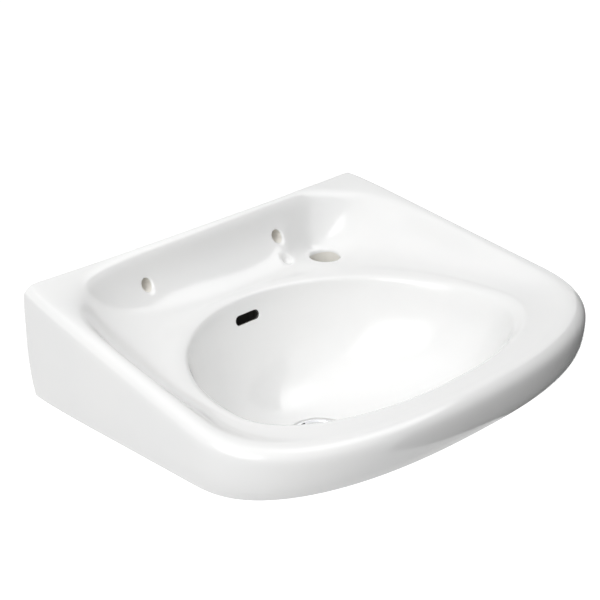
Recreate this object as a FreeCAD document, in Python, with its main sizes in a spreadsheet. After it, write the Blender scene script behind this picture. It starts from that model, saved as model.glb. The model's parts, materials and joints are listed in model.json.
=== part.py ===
import FreeCAD, Part
import Sketcher
import math
import os

# Wall-hung washbasin in glazed vitreous china, with its slotted push-open waste.
# Millimetres, +Z up, +X to the right of someone who faces the wall, -Y towards that person.
# The origin is on the wall, midway between the two wall fixing holes.

doc = FreeCAD.newDocument("washbasin")
sheet = doc.addObject("Spreadsheet::Sheet", "Sizes")

# Driving sizes: alias, value, what it is
SIZES = (
    ("width", 550, "widest part of the basin, across"),
    ("depth", 414.5, "from the wall to the front"),
    ("back_height", 128.5, "height of the casting at the wall"),
    ("fixing_height", 90, "fixing holes above the lowest edge at the wall"),
    ("front_rise", 17, "how much higher the lower edge is at the front"),
    ("front_crest", 64, "height of the rolled edge at the front"),
    ("widest_at", 285, "distance of the widest part from the wall"),
    ("apron_tuck", 8, "how far the apron curves in towards its lower edge"),
    ("crest_radius", 13, "radius of the rolled outer edge"),
    ("crest_blend", 4, "softness of the ridge where it levels out at the front"),
    ("deck_height", 61.5, "height of the deck and of the bowl's rim"),
    ("side_run", 44, "width of the hollowed slope inside the side ridges"),
    ("front_run", 26, "width of the hollowed slope inside the front ridge"),
    ("backsplash_run", 47, "how far the foot of the backsplash is from the wall"),
    ("crest_behind_wall", 16, "how far the crest line runs on behind the wall plane"),
    ("skirt_behind_wall", 90, "how far the apron runs on behind the wall plane"),
    ("rim_half_width", 201.5, "bowl rim, centre to side"),
    ("rim_front", 366, "bowl rim, distance of its front from the wall"),
    ("rim_back", 68, "bowl rim, distance of its back from the wall"),
    ("rim_centre", 266, "distance from the wall of the bowl rim's widest place"),
    ("lip_width", 13, "rounded lip between deck and bowl"),
    ("bowl_depth", 131.5, "deck down to the floor at the outlet"),
    ("outlet_from_wall", 185, "outlet axis, distance from the wall"),
    ("floor_ring_radius", 20, "smallest ring of the bowl floor, inside the outlet bore"),
    ("bowl_wall", 9.5, "thickness of the bowl"),
    ("deck_wall", 11, "thickness of the deck"),
    ("apron_wall", 12.5, "thickness of the apron"),
    ("foot_width", 11, "width of the apron's lower edge"),
    ("back_wall", 13, "thickness of the wall behind the backsplash"),
    ("outlet_bore", 46, "bore through the outlet boss"),
    ("outlet_rebate", 67, "diameter of the rebate that takes the waste flange"),
    ("boss_diameter", 78, "outlet boss at its lower face"),
    ("boss_top_diameter", 88, "outlet boss where it grows out of the bowl"),
    ("boss_thickness", 26, "china between the flange seat and the boss's lower face"),
    ("tap_hole", 35, "tap hole bore"),
    ("tap_edge", 3.5, "rounding of the tap hole's upper edge"),
    ("tap_from_centre", 143, "tap hole axis, to the right of the middle"),
    ("tap_from_wall", 56, "tap hole axis, from the wall"),
    ("tap_rise", 2.5, "level landing round the tap hole, above the deck"),
    ("landing_radius", 21, "that landing, up to where it starts to blend"),
    ("landing_blend", 26, "width of the blend round it"),
    ("tap_boss", 56, "diameter of the thickened china under the landing"),
    ("tap_boss_thickness", 16, "china under the tap, with the deck"),
    ("fixing_spacing", 200, "between the two wall fixing holes"),
    ("fixing_hole", 14, "wall fixing hole"),
    ("fixing_edge", 3, "rounding of its mouth on the backsplash"),
    ("slot_width", 36, "overflow slot, across"),
    ("slot_height", 11, "overflow slot, up and down"),
    ("slot_drop", 26, "middle of the overflow slot below the deck"),
    ("slot_edge", 1.5, "rounding of the slot's edge"),
    ("channel_width", 40, "overflow channel, across"),
    ("channel_depth", 10, "overflow channel, through the wall"),
    ("channel_head", 2, "channel above the slot"),
    ("channel_set", 11, "middle of the channel behind the bowl's surface"),
    ("channel_wall", 7, "china round the overflow channel"),
    ("channel_corner_from_wall", 88, "where the channel's two straight lengths would meet"),
    ("channel_corner_rise", 14, "that corner above the floor of the bowl"),
    ("channel_bend", 90, "radius of the channel's bend"),
    ("dimple_from_centre", 94, "small blind dimple at the foot of the backsplash, right of the middle"),
    ("dimple_from_wall", 42.5, "that dimple, from the wall"),
    ("dimple_width", 14, "diameter of the dimple"),
    ("dimple_depth", 4, "depth of the dimple"),
    ("flange_rise", 2.5, "top of the waste flange above the floor that the bowl would have there"),
    ("flange_diameter", 64, "waste flange"),
    ("flange_thickness", 3, "waste flange"),
    ("flange_bevel", 1, "bevel of its upper edge"),
    ("flange_seal_thickness", 1.5, "rubber ring under the waste flange"),
    ("flange_seal_bore", 57, "bore of that ring"),
    ("flange_seal_diameter", 63, "outer diameter of that ring"),
    ("throat_top", 54, "conical throat of the waste at the flange"),
    ("throat_wall", 3.7, "wall of the conical throat, measured across"),
    ("throat_gap", 0.8, "gap between that wall and the china"),
    ("throat_bottom", 36, "bore of the waste tail"),
    ("tail_diameter", 41.9, "waste tail over its thread, G1 1/4"),
    ("waste_length", 58, "flange top to the end of the tail"),
    ("window_width", 22, "overflow windows in the tail, across"),
    ("window_height", 12, "overflow windows, up and down"),
    ("window_drop", 17, "middle of the windows below the flange top"),
    ("bridge_drop", 32, "top of the bridge in the tail below the flange top"),
    ("bridge_thickness", 4, "thickness of the bridge"),
    ("bridge_arm", 6, "width of each bridge arm"),
    ("bridge_hub", 18, "diameter of the bridge hub"),
    ("stud_diameter", 10, "threaded stud of the cartridge foot"),
    ("stud_length", 6.5, "length of that stud, down through the bridge"),
    ("foot_disc", 2, "thickness of the foot's disc inside the housing"),
    ("housing_diameter", 15, "cartridge housing"),
    ("housing_bore", 12, "chamber for the spring"),
    ("housing_height", 19.7, "cartridge housing above the bridge"),
    ("housing_roof", 2, "roof of the housing, which guides the spindle"),
    ("spindle_diameter", 7, "plug spindle"),
    ("spindle_gap", 0.08, "radial running gap of the spindle in the housing"),
    ("shoulder_diameter", 11, "shoulder of the spindle inside the housing"),
    ("shoulder_height", 2.5, "thickness of that shoulder"),
    ("spring_length", 6, "spring when the plug is down"),
    ("spring_diameter", 9.2, "mean diameter of the spring's turns"),
    ("spring_wire", 0.9, "spring wire"),
    ("spring_gap", 0.05, "gap between the spring and what it presses on"),
    ("cap_diameter", 50, "plug cap"),
    ("cap_sink", 1.5, "underside of the cap below the flange top, plug down"),
    ("cap_edge", 1.2, "height of the plug cap's rim"),
    ("cap_dome", 2, "rise of the plug cap's dome"),
    ("skirt_diameter", 36, "skirt under the plug cap"),
    ("skirt_height", 6.3, "height of that skirt"),
    ("skirt_wall", 2, "thickness of that skirt"),
    ("socket_diameter", 12, "socket under the cap for the spindle"),
    ("socket_height", 8, "height of that socket"),
    ("socket_depth", 6, "how deep the spindle is screwed in"),
    ("ring_wire", 2.4, "section of the plug's O-ring"),
    ("ring_gap", 0.05, "gap between the O-ring and the throat, plug down"),
    ("lower_seal_thickness", 4, "rubber washer below the boss"),
    ("lower_seal_diameter", 60, "its outer diameter at the boss"),
    ("lower_seal_taper", 3, "how much smaller in radius its lower face is"),
    ("slip_washer_thickness", 1.5, "plastic washer above the backnut"),
    ("slip_washer_diameter", 56, "its outer diameter"),
    ("backnut_height", 8, "backnut"),
    ("backnut_flats", 50, "backnut across its flats"),
    ("backnut_collar", 56, "collar of the backnut"),
    ("backnut_collar_height", 2.5, "height of that collar"),
    ("thread_gap", 0.15, "radial gap on the tail's thread"),
    ("overrun", 2, "how far a cutting tool runs past what it cuts"),
)
for row, (alias, value, note) in enumerate(SIZES, start=1):
    sheet.set(f"A{row}", alias)
    sheet.set(f"B{row}", str(value))
    sheet.set(f"C{row}", note)
    sheet.setAlias(f"B{row}", alias)
doc.recompute()


def mm(alias):
    """The number in the sheet's cell of that name."""
    return float(sheet.get(alias))


class Length:
    """A number together with the sheet expression that gives it."""

    def __init__(self, number, text):
        self.number = number
        self.text = text

    def __add__(self, other):
        return Length(self.number + float(other), f"({self.text} + {other})")

    def __sub__(self, other):
        return Length(self.number - float(other), f"({self.text} - {other})")

    def __mul__(self, share):
        return Length(self.number * float(share), f"({self.text} * {share})")

    def __truediv__(self, share):
        return Length(self.number / float(share), f"({self.text} / {share})")

    def __neg__(self):
        return Length(-self.number, f"(-1 * {self.text})")

    def __float__(self):
        return self.number

    def __str__(self):
        return self.text


def cell(alias):
    """The sheet's cell of that name as a bound length."""
    return Length(mm(alias), f"Sizes.{alias}")


ZERO = Length(0.0, "0")
ACROSS = FreeCAD.Vector(1, 0, 0)
TO_WALL = FreeCAD.Vector(0, 1, 0)
DOWN = FreeCAD.Vector(0, 0, -1)

# Levels and places that several pieces share
base = -cell("fixing_height")
deck = base + cell("deck_height")
bowl_floor = deck - cell("bowl_depth")
outlet_y = -cell("outlet_from_wall")
flange_top = bowl_floor + cell("flange_rise")
seat = flange_top - cell("flange_thickness") - cell("flange_seal_thickness")
boss_under = seat - cell("boss_thickness")
bridge_top = flange_top - cell("bridge_drop")
tap_landing = deck + cell("tap_rise")

half = mm("width") / 2
base_level = float(base)
deck_level = float(deck)

# Outlines of the rings are Lame curves: power 2 is an ellipse, a higher power is squarer
OUTLINE_FRONT_POWER = 2.39
OUTLINE_BACK_POWER = 8
UNDER_BACK_POWER = 14
RIM_FRONT_POWER = 2.2
RIM_BACK_POWER = 2.11

# How much the sides draw in from the widest place to the wall, and how steeply the ridge falls
TAPER_SHARE = 0.075
RIDGE_SLOPE_SHARE = 0.179

# The angles of the points are closest together round the back corner
CORNER_ANGLE = 47.0
CORNER_SPREAD = 40.0
RAYS = 35


def ray_angles():
    """Angles of the points of a right half ring, from the front to the back."""
    quarter = 90.0
    first = math.asinh((-quarter - CORNER_ANGLE) / CORNER_SPREAD)
    last = math.asinh((quarter - CORNER_ANGLE) / CORNER_SPREAD)
    places = [first + (last - first) * step / RAYS for step in range(RAYS + 1)]
    return [math.radians(CORNER_ANGLE + CORNER_SPREAD * math.sinh(place)) for place in places]


RIGHT_ANGLES = ray_angles()
ANGLES = RIGHT_ANGLES + [math.pi - angle for angle in reversed(RIGHT_ANGLES[1:-1])]


def ring(half_width, front, back, centre, powers, level):
    """A closed ring of points. Front, back and centre are distances from the wall."""
    points = []
    for angle in ANGLES:
        ahead = math.sin(angle) < 0
        reach = front - centre if ahead else centre - back
        power = powers[0] if ahead else powers[1]
        across = (abs(math.cos(angle)) / half_width) ** power
        along = (abs(math.sin(angle)) / reach) ** power
        radius = (across + along) ** (-1 / power)
        x = radius * math.cos(angle)
        y = radius * math.sin(angle) - centre
        behind = y + mm("widest_at")
        if behind > 0:
            x *= 1 - TAPER_SHARE * behind / mm("widest_at")
        points.append(FreeCAD.Vector(x, y, level(x, y)))
    return points


def lower_edge(x, y):
    """Lower edge of the apron, level at the wall and higher at the front."""
    return base_level + mm("front_rise") * max(-y, 0) / mm("depth")


def ridge(x, y):
    """The crest line: straight down from the back corners, levelling out at the front."""
    slope = base_level + mm("back_height") + RIDGE_SLOPE_SHARE * y
    front = base_level + mm("front_crest")
    blend = mm("crest_blend")
    return front + blend * math.log(1 + math.exp((slope - front) / blend))


def deck_plane(x, y):
    return deck_level


def mix(low, high, share):
    """A level between two others."""
    return lambda x, y: low(x, y) + share * (high(x, y) - low(x, y))


def shifted(level, rise):
    return lambda x, y: level(x, y) + rise


def eased(share):
    """From 0 to 1 with a soft start and a soft end."""
    share = min(max(share, 0), 1)
    return share * share * (3 - 2 * share)


def landed(level, landing, radius):
    """A level with a flat place for the tap blended in."""
    def flattened(x, y):
        away = math.hypot(x - mm("tap_from_centre"), y + mm("tap_from_wall"))
        share = eased((away - radius) / mm("landing_blend"))
        return landing + (level(x, y) - landing) * share
    return flattened


def tap_flat(level):
    return landed(level, float(tap_landing), mm("landing_radius"))


# Apron: share of the tuck, share of the height up to the ridge
APRON_SHARES = ((1, 0), (0.52, 0.14), (0.15, 0.34), (0, 0.56))
# Rolled edge: degrees of the roll, share of the way back to the skirt, power of the back
ROLL_TURNS = ((0, 1, 8), (30, 0.7, 9), (60, 0.35, 11), (90, 0, 16))
# Hollowed slope: share of the run to the side and front, of the run of the backsplash,
# share of the drop to the deck, power of the back
HOLLOW_SHARES = (
    (0.16, 0.13, 0.05, 6.3),
    (0.31, 0.24, 0.26, 5.2),
    (0.5, 0.39, 0.55, 4.3),
    (0.74, 0.7, 0.8, 3.6),
    (1, 1, 0.95, 3.0),
)
# Deck: shares of the lip's width outside the rim at the side, front and back, share of its
# width below the deck, power of the back
DECK_SHARES = ((0.85, 0.6, 1, 0, 2.6), (0.45, 0.35, 0.5, 0.02, 2.35))
# Bowl: shares of the reach to the side, front and back, share of the depth, and how far the
# wall has turned from upright to level
BOWL_SHARES = (
    (1, 1, 1, 0.02, 0.35),
    (0.973, 0.972, 0.985, 0.062, 0.2),
    (0.948, 0.945, 0.972, 0.15, 0.16),
    (0.913, 0.895, 0.925, 0.3, 0.25),
    (0.851, 0.818, 0.863, 0.48, 0.4),
    (0.744, 0.713, 0.788, 0.65, 0.55),
    (0.596, 0.586, 0.68, 0.79, 0.68),
    (0.417, 0.442, 0.558, 0.885, 0.8),
    (0.258, 0.282, 0.434, 0.945, 0.9),
    (0.169, 0.188, 0.3, 0.975, 1),
)
LIP_ROWS = 2
# Underside of the apron: share of the foot, share of the wall, share of the height up to the
# hollow's ceiling
UNDER_APRON_SHARES = ((1, 0, 0), (0.25, 0.75, 0.35), (0, 1, 0.7))
# Hollow: share of the run to the side and front, of the run of the backsplash, share of the
# rounding below the ceiling, how far the ceiling rises inside the ridge, power of the back
HOLLOW_UNDER_SHARES = ((0.1, 0.07, 0.6, 0.65, 12), (0.3, 0.15, 0.12, 0.6, 9), (0.55, 0.28, 0, 0.33, 6))
UNDER_APRON_RISE_SHARE = 0.65
CEILING_BACK_SHARE = 0.45
LIP_UNDER_SHARE = 0.25


def bowl_rings(shares_used, wall):
    """Rings down the bowl. With a wall they are the rings of its outside."""
    outlet = mm("outlet_from_wall")
    rings = []
    for side_share, front_share, back_share, depth_share, turn_share in shares_used:
        turn = turn_share * math.pi / 2
        out = wall * math.cos(turn)
        side = side_share * mm("rim_half_width") + out
        front = outlet + front_share * (mm("rim_front") - outlet) + out
        back = outlet - back_share * (outlet - mm("rim_back")) - out
        centre = outlet + front_share * (mm("rim_centre") - outlet)
        drop = depth_share * mm("bowl_depth") + wall * math.sin(turn)
        rings.append(ring(side, front, back, centre, (RIM_FRONT_POWER, RIM_BACK_POWER),
                          shifted(deck_plane, -drop)))
    small = mm("floor_ring_radius")
    drop = mm("bowl_depth") + wall
    rings.append(ring(small, outlet + small, outlet - small, outlet, (2, 2),
                      shifted(deck_plane, -drop)))
    return rings


def glazed_rings():
    """From the lower edge of the apron over the ridge, down to the deck and into the bowl."""
    rings = []
    depth = mm("depth")
    widest = mm("widest_at")
    skirt = mm("skirt_behind_wall")
    for tuck_share, height_share in APRON_SHARES:
        inset = tuck_share * mm("apron_tuck")
        rings.append(ring(half - inset, depth - inset, -skirt, widest,
                          (OUTLINE_FRONT_POWER, OUTLINE_BACK_POWER),
                          mix(lower_edge, ridge, height_share)))
    roll = mm("crest_radius")
    for turn, behind_share, back_power in ROLL_TURNS:
        inset = roll * (1 - math.cos(math.radians(turn)))
        drop = roll * (1 - math.sin(math.radians(turn)))
        behind = mm("crest_behind_wall") + behind_share * (skirt - mm("crest_behind_wall"))
        rings.append(ring(half - inset, depth - inset, -behind, widest,
                          (OUTLINE_FRONT_POWER, back_power), shifted(ridge, -drop)))
    for run_share, back_share, drop_share, back_power in HOLLOW_SHARES:
        side = half - roll - run_share * mm("side_run")
        front = depth - roll - run_share * mm("front_run")
        centre = widest + run_share * (mm("rim_centre") - widest)
        rings.append(ring(side, front, back_share * mm("backsplash_run"), centre,
                          (OUTLINE_FRONT_POWER, back_power),
                          tap_flat(mix(ridge, deck_plane, drop_share))))
    lip = mm("lip_width")
    for side_share, front_share, back_share, drop_share, back_power in DECK_SHARES:
        rings.append(ring(mm("rim_half_width") + side_share * lip,
                          mm("rim_front") + front_share * lip,
                          mm("rim_back") - back_share * lip, mm("rim_centre"),
                          (RIM_FRONT_POWER, back_power),
                          tap_flat(shifted(deck_plane, -drop_share * lip))))
    return rings + bowl_rings(BOWL_SHARES, 0)


def hollow_ceiling(rise_share):
    """Ceiling of the hollow: under the deck, and up inside the ridges, less near the wall."""
    def level(x, y):
        away_share = eased(-y / (2 * mm("backsplash_run")))
        wall_share = CEILING_BACK_SHARE + (1 - CEILING_BACK_SHARE) * away_share
        rise = rise_share * wall_share * (ridge(x, y) - deck_level)
        return deck_level - mm("deck_wall") + rise
    return landed(level, float(tap_landing) - mm("deck_wall"), mm("landing_radius") + mm("deck_wall"))


def underside_rings():
    """From the apron's lower edge up inside the hollow and down the outside of the bowl."""
    rings = []
    depth = mm("depth")
    widest = mm("widest_at")
    wall = mm("apron_wall")
    foot = mm("apron_tuck") + mm("foot_width")
    powers = (OUTLINE_FRONT_POWER, UNDER_BACK_POWER)
    for foot_share, wall_share, height_share in UNDER_APRON_SHARES:
        inset = foot_share * foot + wall_share * wall
        rings.append(ring(half - inset, depth - inset, mm("back_wall"), widest, powers,
                          mix(lower_edge, hollow_ceiling(UNDER_APRON_RISE_SHARE),
                              height_share)))
    for run_share, back_share, drop_share, rise_share, back_power in HOLLOW_UNDER_SHARES:
        side = half - wall - run_share * mm("side_run")
        front = depth - wall - run_share * mm("front_run")
        back = mm("back_wall") + back_share * mm("backsplash_run")
        rings.append(ring(side, front, back, widest, (OUTLINE_FRONT_POWER, back_power),
                          shifted(hollow_ceiling(rise_share), -drop_share * wall)))
    out = mm("bowl_wall") + LIP_UNDER_SHARE * mm("lip_width")
    drop = mm("deck_wall") + mm("bowl_wall") / 2
    rings.append(ring(mm("rim_half_width") + out, mm("rim_front") + out, mm("rim_back") - out,
                      mm("rim_centre"), (RIM_FRONT_POWER, RIM_BACK_POWER),
                      shifted(deck_plane, -drop)))
    return rings + bowl_rings(BOWL_SHARES[LIP_ROWS:], mm("bowl_wall"))


def control_rows(rings):
    """Rows of control points of a cubic surface that follows the rings closely."""
    count = len(ANGLES)
    rounds = []
    for points in rings:
        rounds.append([points[i] + (points[i] * 2 - points[i - 1] - points[(i + 1) % count]) / 6
                       for i in range(count)])
    rows = [rounds[0]]
    for before, here, after in zip(rounds, rounds[1:], rounds[2:]):
        rows.append([here[i] + (here[i] * 2 - before[i] - after[i]) / 6 for i in range(count)])
    rows.append(rounds[-1])
    first = [rows[0][i] * 2 - rows[1][i] for i in range(count)]
    last = [rows[-1][i] * 2 - rows[-2][i] for i in range(count)]
    return [first] + rows + [last]


def ring_surfaces(rings):
    """The right and left halves of one smooth closed surface through the rings."""
    rows = control_rows(rings)
    count = len(ANGLES)
    columns = [[row[i % count] for row in rows] for i in range(-1, count + 2)]
    degree = 3
    round_knots = list(range(-degree, count + degree + 1))
    down_knots = list(range(-degree, len(rows) + 1))
    surface = Part.BSplineSurface()
    surface.buildFromPolesMultsKnots(columns, [1] * len(round_knots), [1] * len(down_knots),
                                     round_knots, down_knots, False, False, degree, degree)
    halves = []
    for start, end in ((0, count // 2), (count // 2, count)):
        patch = surface.copy()
        patch.segment(start, end, 0, len(rings) - 1)
        halves.append(patch)
    return halves


def casting_shape():
    """The raw casting: glazed side and underside, joined along the lower edge and the outlet."""
    faces = []
    for glazed, under in zip(ring_surfaces(glazed_rings()), ring_surfaces(underside_rings())):
        faces += [glazed.toShape(), under.toShape()]
        glazed_bounds = glazed.bounds()
        under_bounds = under.bounds()
        for end in (2, 3):
            glazed_edge = glazed.vIso(glazed_bounds[end]).toShape()
            under_edge = under.vIso(under_bounds[end]).toShape()
            faces.append(Part.makeRuledSurface(glazed_edge, under_edge))
    shell = Part.makeShell(faces)
    shell.sewShape()
    solid = Part.makeSolid(shell)
    if solid.Volume < 0:
        solid.reverse()
    return solid


def surface_point(solid, start, way):
    """Where a straight line from start first enters the solid."""
    line = Part.makeLine(start, start + way * mm("width"))
    inside = line.common(solid)
    return min((vertex.Point for vertex in inside.Vertexes), key=start.distanceToPoint)


def stadium(centre, across, up, width, height):
    """A wire with a straight top and bottom and round ends."""
    radius = height / 2
    rise = up * radius
    end = across * radius
    right = centre + across * (width / 2 - radius)
    left = centre - across * (width / 2 - radius)
    return Part.Wire([
        Part.LineSegment(left + rise, right + rise).toShape(),
        Part.Arc(right + rise, right + end, right - rise).toShape(),
        Part.LineSegment(right - rise, left - rise).toShape(),
        Part.Arc(left - rise, left - end, left + rise).toShape(),
    ])


def tangent_arc(start, corner, end):
    """The arc from start to end whose end tangents meet at the corner, equally far from both."""
    onward = (end - corner).normalize()
    into = (corner - start).normalize()
    turn = into.getAngle(onward)
    radius = start.distanceToPoint(corner) / math.tan(turn / 2)
    middle = corner + (onward - into).normalize() * (radius / math.cos(turn / 2) - radius)
    return Part.Arc(start, middle, end)


PLACES = {"x": "Placement.Base.x", "y": "Placement.Base.y", "z": "Placement.Base.z"}


def bind(thing, **bound):
    for key, length in bound.items():
        thing.setExpression(PLACES.get(key, key), str(length))
    return thing


def make(kind, name, turn=None, **bound):
    """A primitive whose sizes and place are bound to the sheet."""
    thing = doc.addObject(kind, name)
    if turn:
        thing.Placement = FreeCAD.Placement(FreeCAD.Vector(), turn)
    return bind(thing, **bound)


def cylinder(name, diameter, foot, height, turn=None, **place):
    return make("Part::Cylinder", name, turn, Radius=diameter / 2, Height=height, z=foot, **place)


def fuse(name, *parts):
    result = doc.addObject("Part::MultiFuse", name)
    result.Shapes = list(parts)
    return result


def cut(name, whole, *tools):
    result = doc.addObject("Part::Cut", name)
    result.Base = whole
    result.Tool = tools[0] if len(tools) == 1 else fuse(f"{name}_tools", *tools)
    return result


def shaped(name, shape):
    """An object whose shape is worked out here from the sheet's sizes."""
    result = doc.addObject("Part::Feature", name)
    result.Shape = shape
    return result


def turned(name, outline, foot, dome=None):
    """A body turned about the outlet axis from corners of radius and height, anticlockwise.

    The side that starts at the corner numbered dome is an arc centred on the axis.
    """
    body = doc.addObject("PartDesign::Body", name)
    sketch = body.newObject("Sketcher::SketchObject", f"{name}_outline")
    plane = next(item for item in body.Origin.OriginFeatures if item.Role == "XZ_Plane")
    sketch.AttachmentSupport = (plane, [""])
    sketch.MapMode = "FlatFace"
    corners = [FreeCAD.Vector(float(radius), float(height), 0) for radius, height in outline]
    for i, corner in enumerate(corners):
        following = corners[(i + 1) % len(corners)]
        if i == dome:
            rise = following.y - corner.y
            radius = (corner.x ** 2 + rise ** 2) / (2 * rise)
            centre = FreeCAD.Vector(0, following.y - radius, 0)
            circle = Part.Circle(centre, FreeCAD.Vector(0, 0, 1), radius)
            start = math.atan2(corner.y - centre.y, corner.x)
            sketch.addGeometry(Part.ArcOfCircle(circle, start, math.pi / 2), False)
        else:
            sketch.addGeometry(Part.LineSegment(corner, following), False)
    for i, (radius, height) in enumerate(outline):
        sketch.addConstraint(Sketcher.Constraint("Coincident", i, 2, (i + 1) % len(outline), 1))
        if radius is ZERO:
            sketch.addConstraint(Sketcher.Constraint("PointOnObject", i, 1, -2))
        else:
            spot = sketch.addConstraint(
                Sketcher.Constraint("DistanceX", -1, 1, i, 1, float(radius)))
            sketch.setExpression(f"Constraints[{spot}]", str(radius))
        if height is ZERO:
            sketch.addConstraint(Sketcher.Constraint("PointOnObject", i, 1, -1))
        else:
            spot = sketch.addConstraint(
                Sketcher.Constraint("DistanceY", -1, 1, i, 1, float(height)))
            sketch.setExpression(f"Constraints[{spot}]", str(height))
    if dome is not None:
        sketch.addConstraint(Sketcher.Constraint("PointOnObject", dome, 3, -2))
    turning = body.newObject("PartDesign::Revolution", f"{name}_turning")
    turning.Profile = sketch
    turning.ReferenceAxis = (sketch, ["V_Axis"])
    turning.Angle = 360
    return bind(body, y=outlet_y, z=foot)


# Casting


def channel_course(top):
    """Way down, bend and end of the overflow channel's axis, which is straight at both ends."""
    corner = FreeCAD.Vector(0, -mm("channel_corner_from_wall"),
                            float(bowl_floor) + mm("channel_corner_rise"))
    end = FreeCAD.Vector(0, float(outlet_y) + mm("outlet_bore") / 2 - mm("overrun"),
                         float(flange_top) - mm("window_drop"))
    down = (corner - top).normalize()
    onward = (end - corner).normalize()
    reach = mm("channel_bend") * math.tan(down.getAngle(onward) / 2)
    return down, tangent_arc(corner - down * reach, corner, corner + onward * reach), end


def channel_pipe(top, head, thickness, width, set_back):
    """A pipe of stadium section along the channel, starting a head above its top point."""
    down, bend, end = channel_course(top)
    start = top - down * head
    course = Part.Wire([
        Part.LineSegment(start, bend.StartPoint).toShape(),
        bend.toShape(),
        Part.LineSegment(bend.EndPoint, end).toShape(),
    ])
    outward = ACROSS.cross(down)
    pipe = Part.BRepOffsetAPI.MakePipeShell(course)
    pipe.setBiNormalMode(ACROSS)
    pipe.add(stadium(start + outward * set_back, ACROSS, outward, width, thickness))
    pipe.build()
    pipe.makeSolid()
    return pipe.shape()


raw_casting = shaped("casting", casting_shape())
slot_level = deck_level - mm("slot_drop")
# Just off the middle, where the two halves of the surface meet
bowl_middle = FreeCAD.Vector(mm("slot_edge"), float(outlet_y), slot_level)
slot_face = surface_point(raw_casting.Shape, bowl_middle, TO_WALL)
channel_top = FreeCAD.Vector(0, slot_face.y + mm("channel_set"), slot_level)
channel_down = channel_course(channel_top)[0]
slot_way = ACROSS.cross(channel_down)

channel_cover = (mm("channel_set") - mm("channel_depth") / 2) / 2
channel_bulge = shaped("channel_bulge", channel_pipe(
    channel_top, mm("slot_drop") - mm("deck_wall") / 2,
    mm("channel_depth") + mm("channel_wall") + channel_cover,
    mm("channel_width") + 2 * mm("channel_wall"), (mm("channel_wall") - channel_cover) / 2))
channel = shaped("channel", channel_pipe(
    channel_top, mm("slot_height") / 2 + mm("channel_head"), mm("channel_depth"),
    mm("channel_width"), 0))
slot_start = FreeCAD.Vector(0, slot_face.y, slot_level) - slot_way * mm("lip_width")
slot_outline = stadium(slot_start, ACROSS, channel_down, mm("slot_width"), mm("slot_height"))
slot = shaped("slot", Part.Face(slot_outline).extrude(
    slot_way * (mm("lip_width") + mm("channel_set"))))

outlet_boss = make("Part::Cone", "outlet_boss", Radius1=cell("boss_diameter") / 2,
                   Radius2=cell("boss_top_diameter") / 2, Height=cell("boss_thickness"),
                   y=outlet_y, z=boss_under)
tap_x = cell("tap_from_centre")
tap_y = -cell("tap_from_wall")
tap_foot = tap_landing - cell("tap_boss_thickness")
tap_boss = cylinder("tap_boss", cell("tap_boss"), tap_foot,
                    cell("tap_boss_thickness") - cell("deck_wall") / 2, x=tap_x, y=tap_y)
solid_casting = fuse("solid_casting", raw_casting, outlet_boss, channel_bulge, tap_boss)

overrun = cell("overrun")
behind = make("Part::Box", "behind_wall", Length=cell("width") + overrun * 2,
              Width=cell("skirt_behind_wall") + overrun,
              Height=cell("back_height") + cell("skirt_behind_wall"),
              x=-(cell("width") / 2 + overrun), z=base - overrun)
rebate = cylinder("outlet_rebate", cell("outlet_rebate"), seat, cell("boss_thickness"), y=outlet_y)
throat_reach = cell("throat_top") / 2 + cell("throat_wall") + cell("throat_gap")
outlet_bore = cylinder("outlet_bore", cell("outlet_bore"), boss_under - overrun,
                       cell("boss_thickness") + overrun * 2, y=outlet_y)
countersink_top = throat_reach - (flange_top - seat)
outlet_countersink = make("Part::Cone", "outlet_countersink", Radius1=cell("outlet_bore") / 2,
                          Radius2=countersink_top,
                          Height=countersink_top - cell("outlet_bore") / 2,
                          y=outlet_y, z=seat - (countersink_top - cell("outlet_bore") / 2))
tap_bore = cylinder("tap_bore", cell("tap_hole"), tap_foot - overrun,
                    cell("tap_boss_thickness") + cell("backsplash_run"), x=tap_x, y=tap_y)
along_wall_axis = FreeCAD.Rotation(ACROSS, 90)
fixing_bores = []
for side, sign in (("left", -1), ("right", 1)):
    fixing_bores.append(cylinder(f"fixing_{side}", cell("fixing_hole"), ZERO,
                                 cell("backsplash_run") + overrun, along_wall_axis,
                                 x=cell("fixing_spacing") * sign / 2, y=overrun))
above_dimple = FreeCAD.Vector(mm("dimple_from_centre"), -mm("dimple_from_wall"), half)
dimple_top = surface_point(raw_casting.Shape, above_dimple, DOWN)
dimple_radius = (mm("dimple_width") ** 2 / 4 + mm("dimple_depth") ** 2) / (2 * mm("dimple_depth"))
dimple = shaped("dimple", Part.makeSphere(
    dimple_radius, dimple_top - DOWN * (dimple_radius - mm("dimple_depth"))))
machined = cut("machined_casting", solid_casting, behind, rebate, outlet_bore, outlet_countersink,
               channel, slot, tap_bore, dimple, *fixing_bores)
doc.recompute()


# How close an edge must lie to a mouth's outline to be rounded
NEAR_SHARE = 0.1
near = NEAR_SHARE * mm("slot_edge")


def mouth_edges(shape, inside, radius):
    """Edges that lie wholly in a region, each with the radius they are rounded to."""
    samples = 7
    return [(number, radius, radius) for number, edge in enumerate(shape.Edges, start=1)
            if not edge.Degenerated and all(inside(point) for point in edge.discretize(samples))]


def tap_mouth(point):
    away = math.hypot(point.x - float(tap_x), point.y - float(tap_y))
    return abs(away - mm("tap_hole") / 2) < near and abs(point.z - float(tap_landing)) < mm("tap_edge")


def fixing_mouth(point):
    away = math.hypot(abs(point.x) - mm("fixing_spacing") / 2, point.z)
    return abs(away - mm("fixing_hole") / 2) < near and point.y < -mm("fixing_edge")


def slot_mouth(point):
    from_face = point - slot_face
    return (abs(from_face.dot(slot_way)) < mm("slot_edge")
            and abs(point.x) < mm("slot_width") / 2 + near
            and abs(from_face.dot(channel_down)) < mm("slot_height") / 2 + near)


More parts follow.
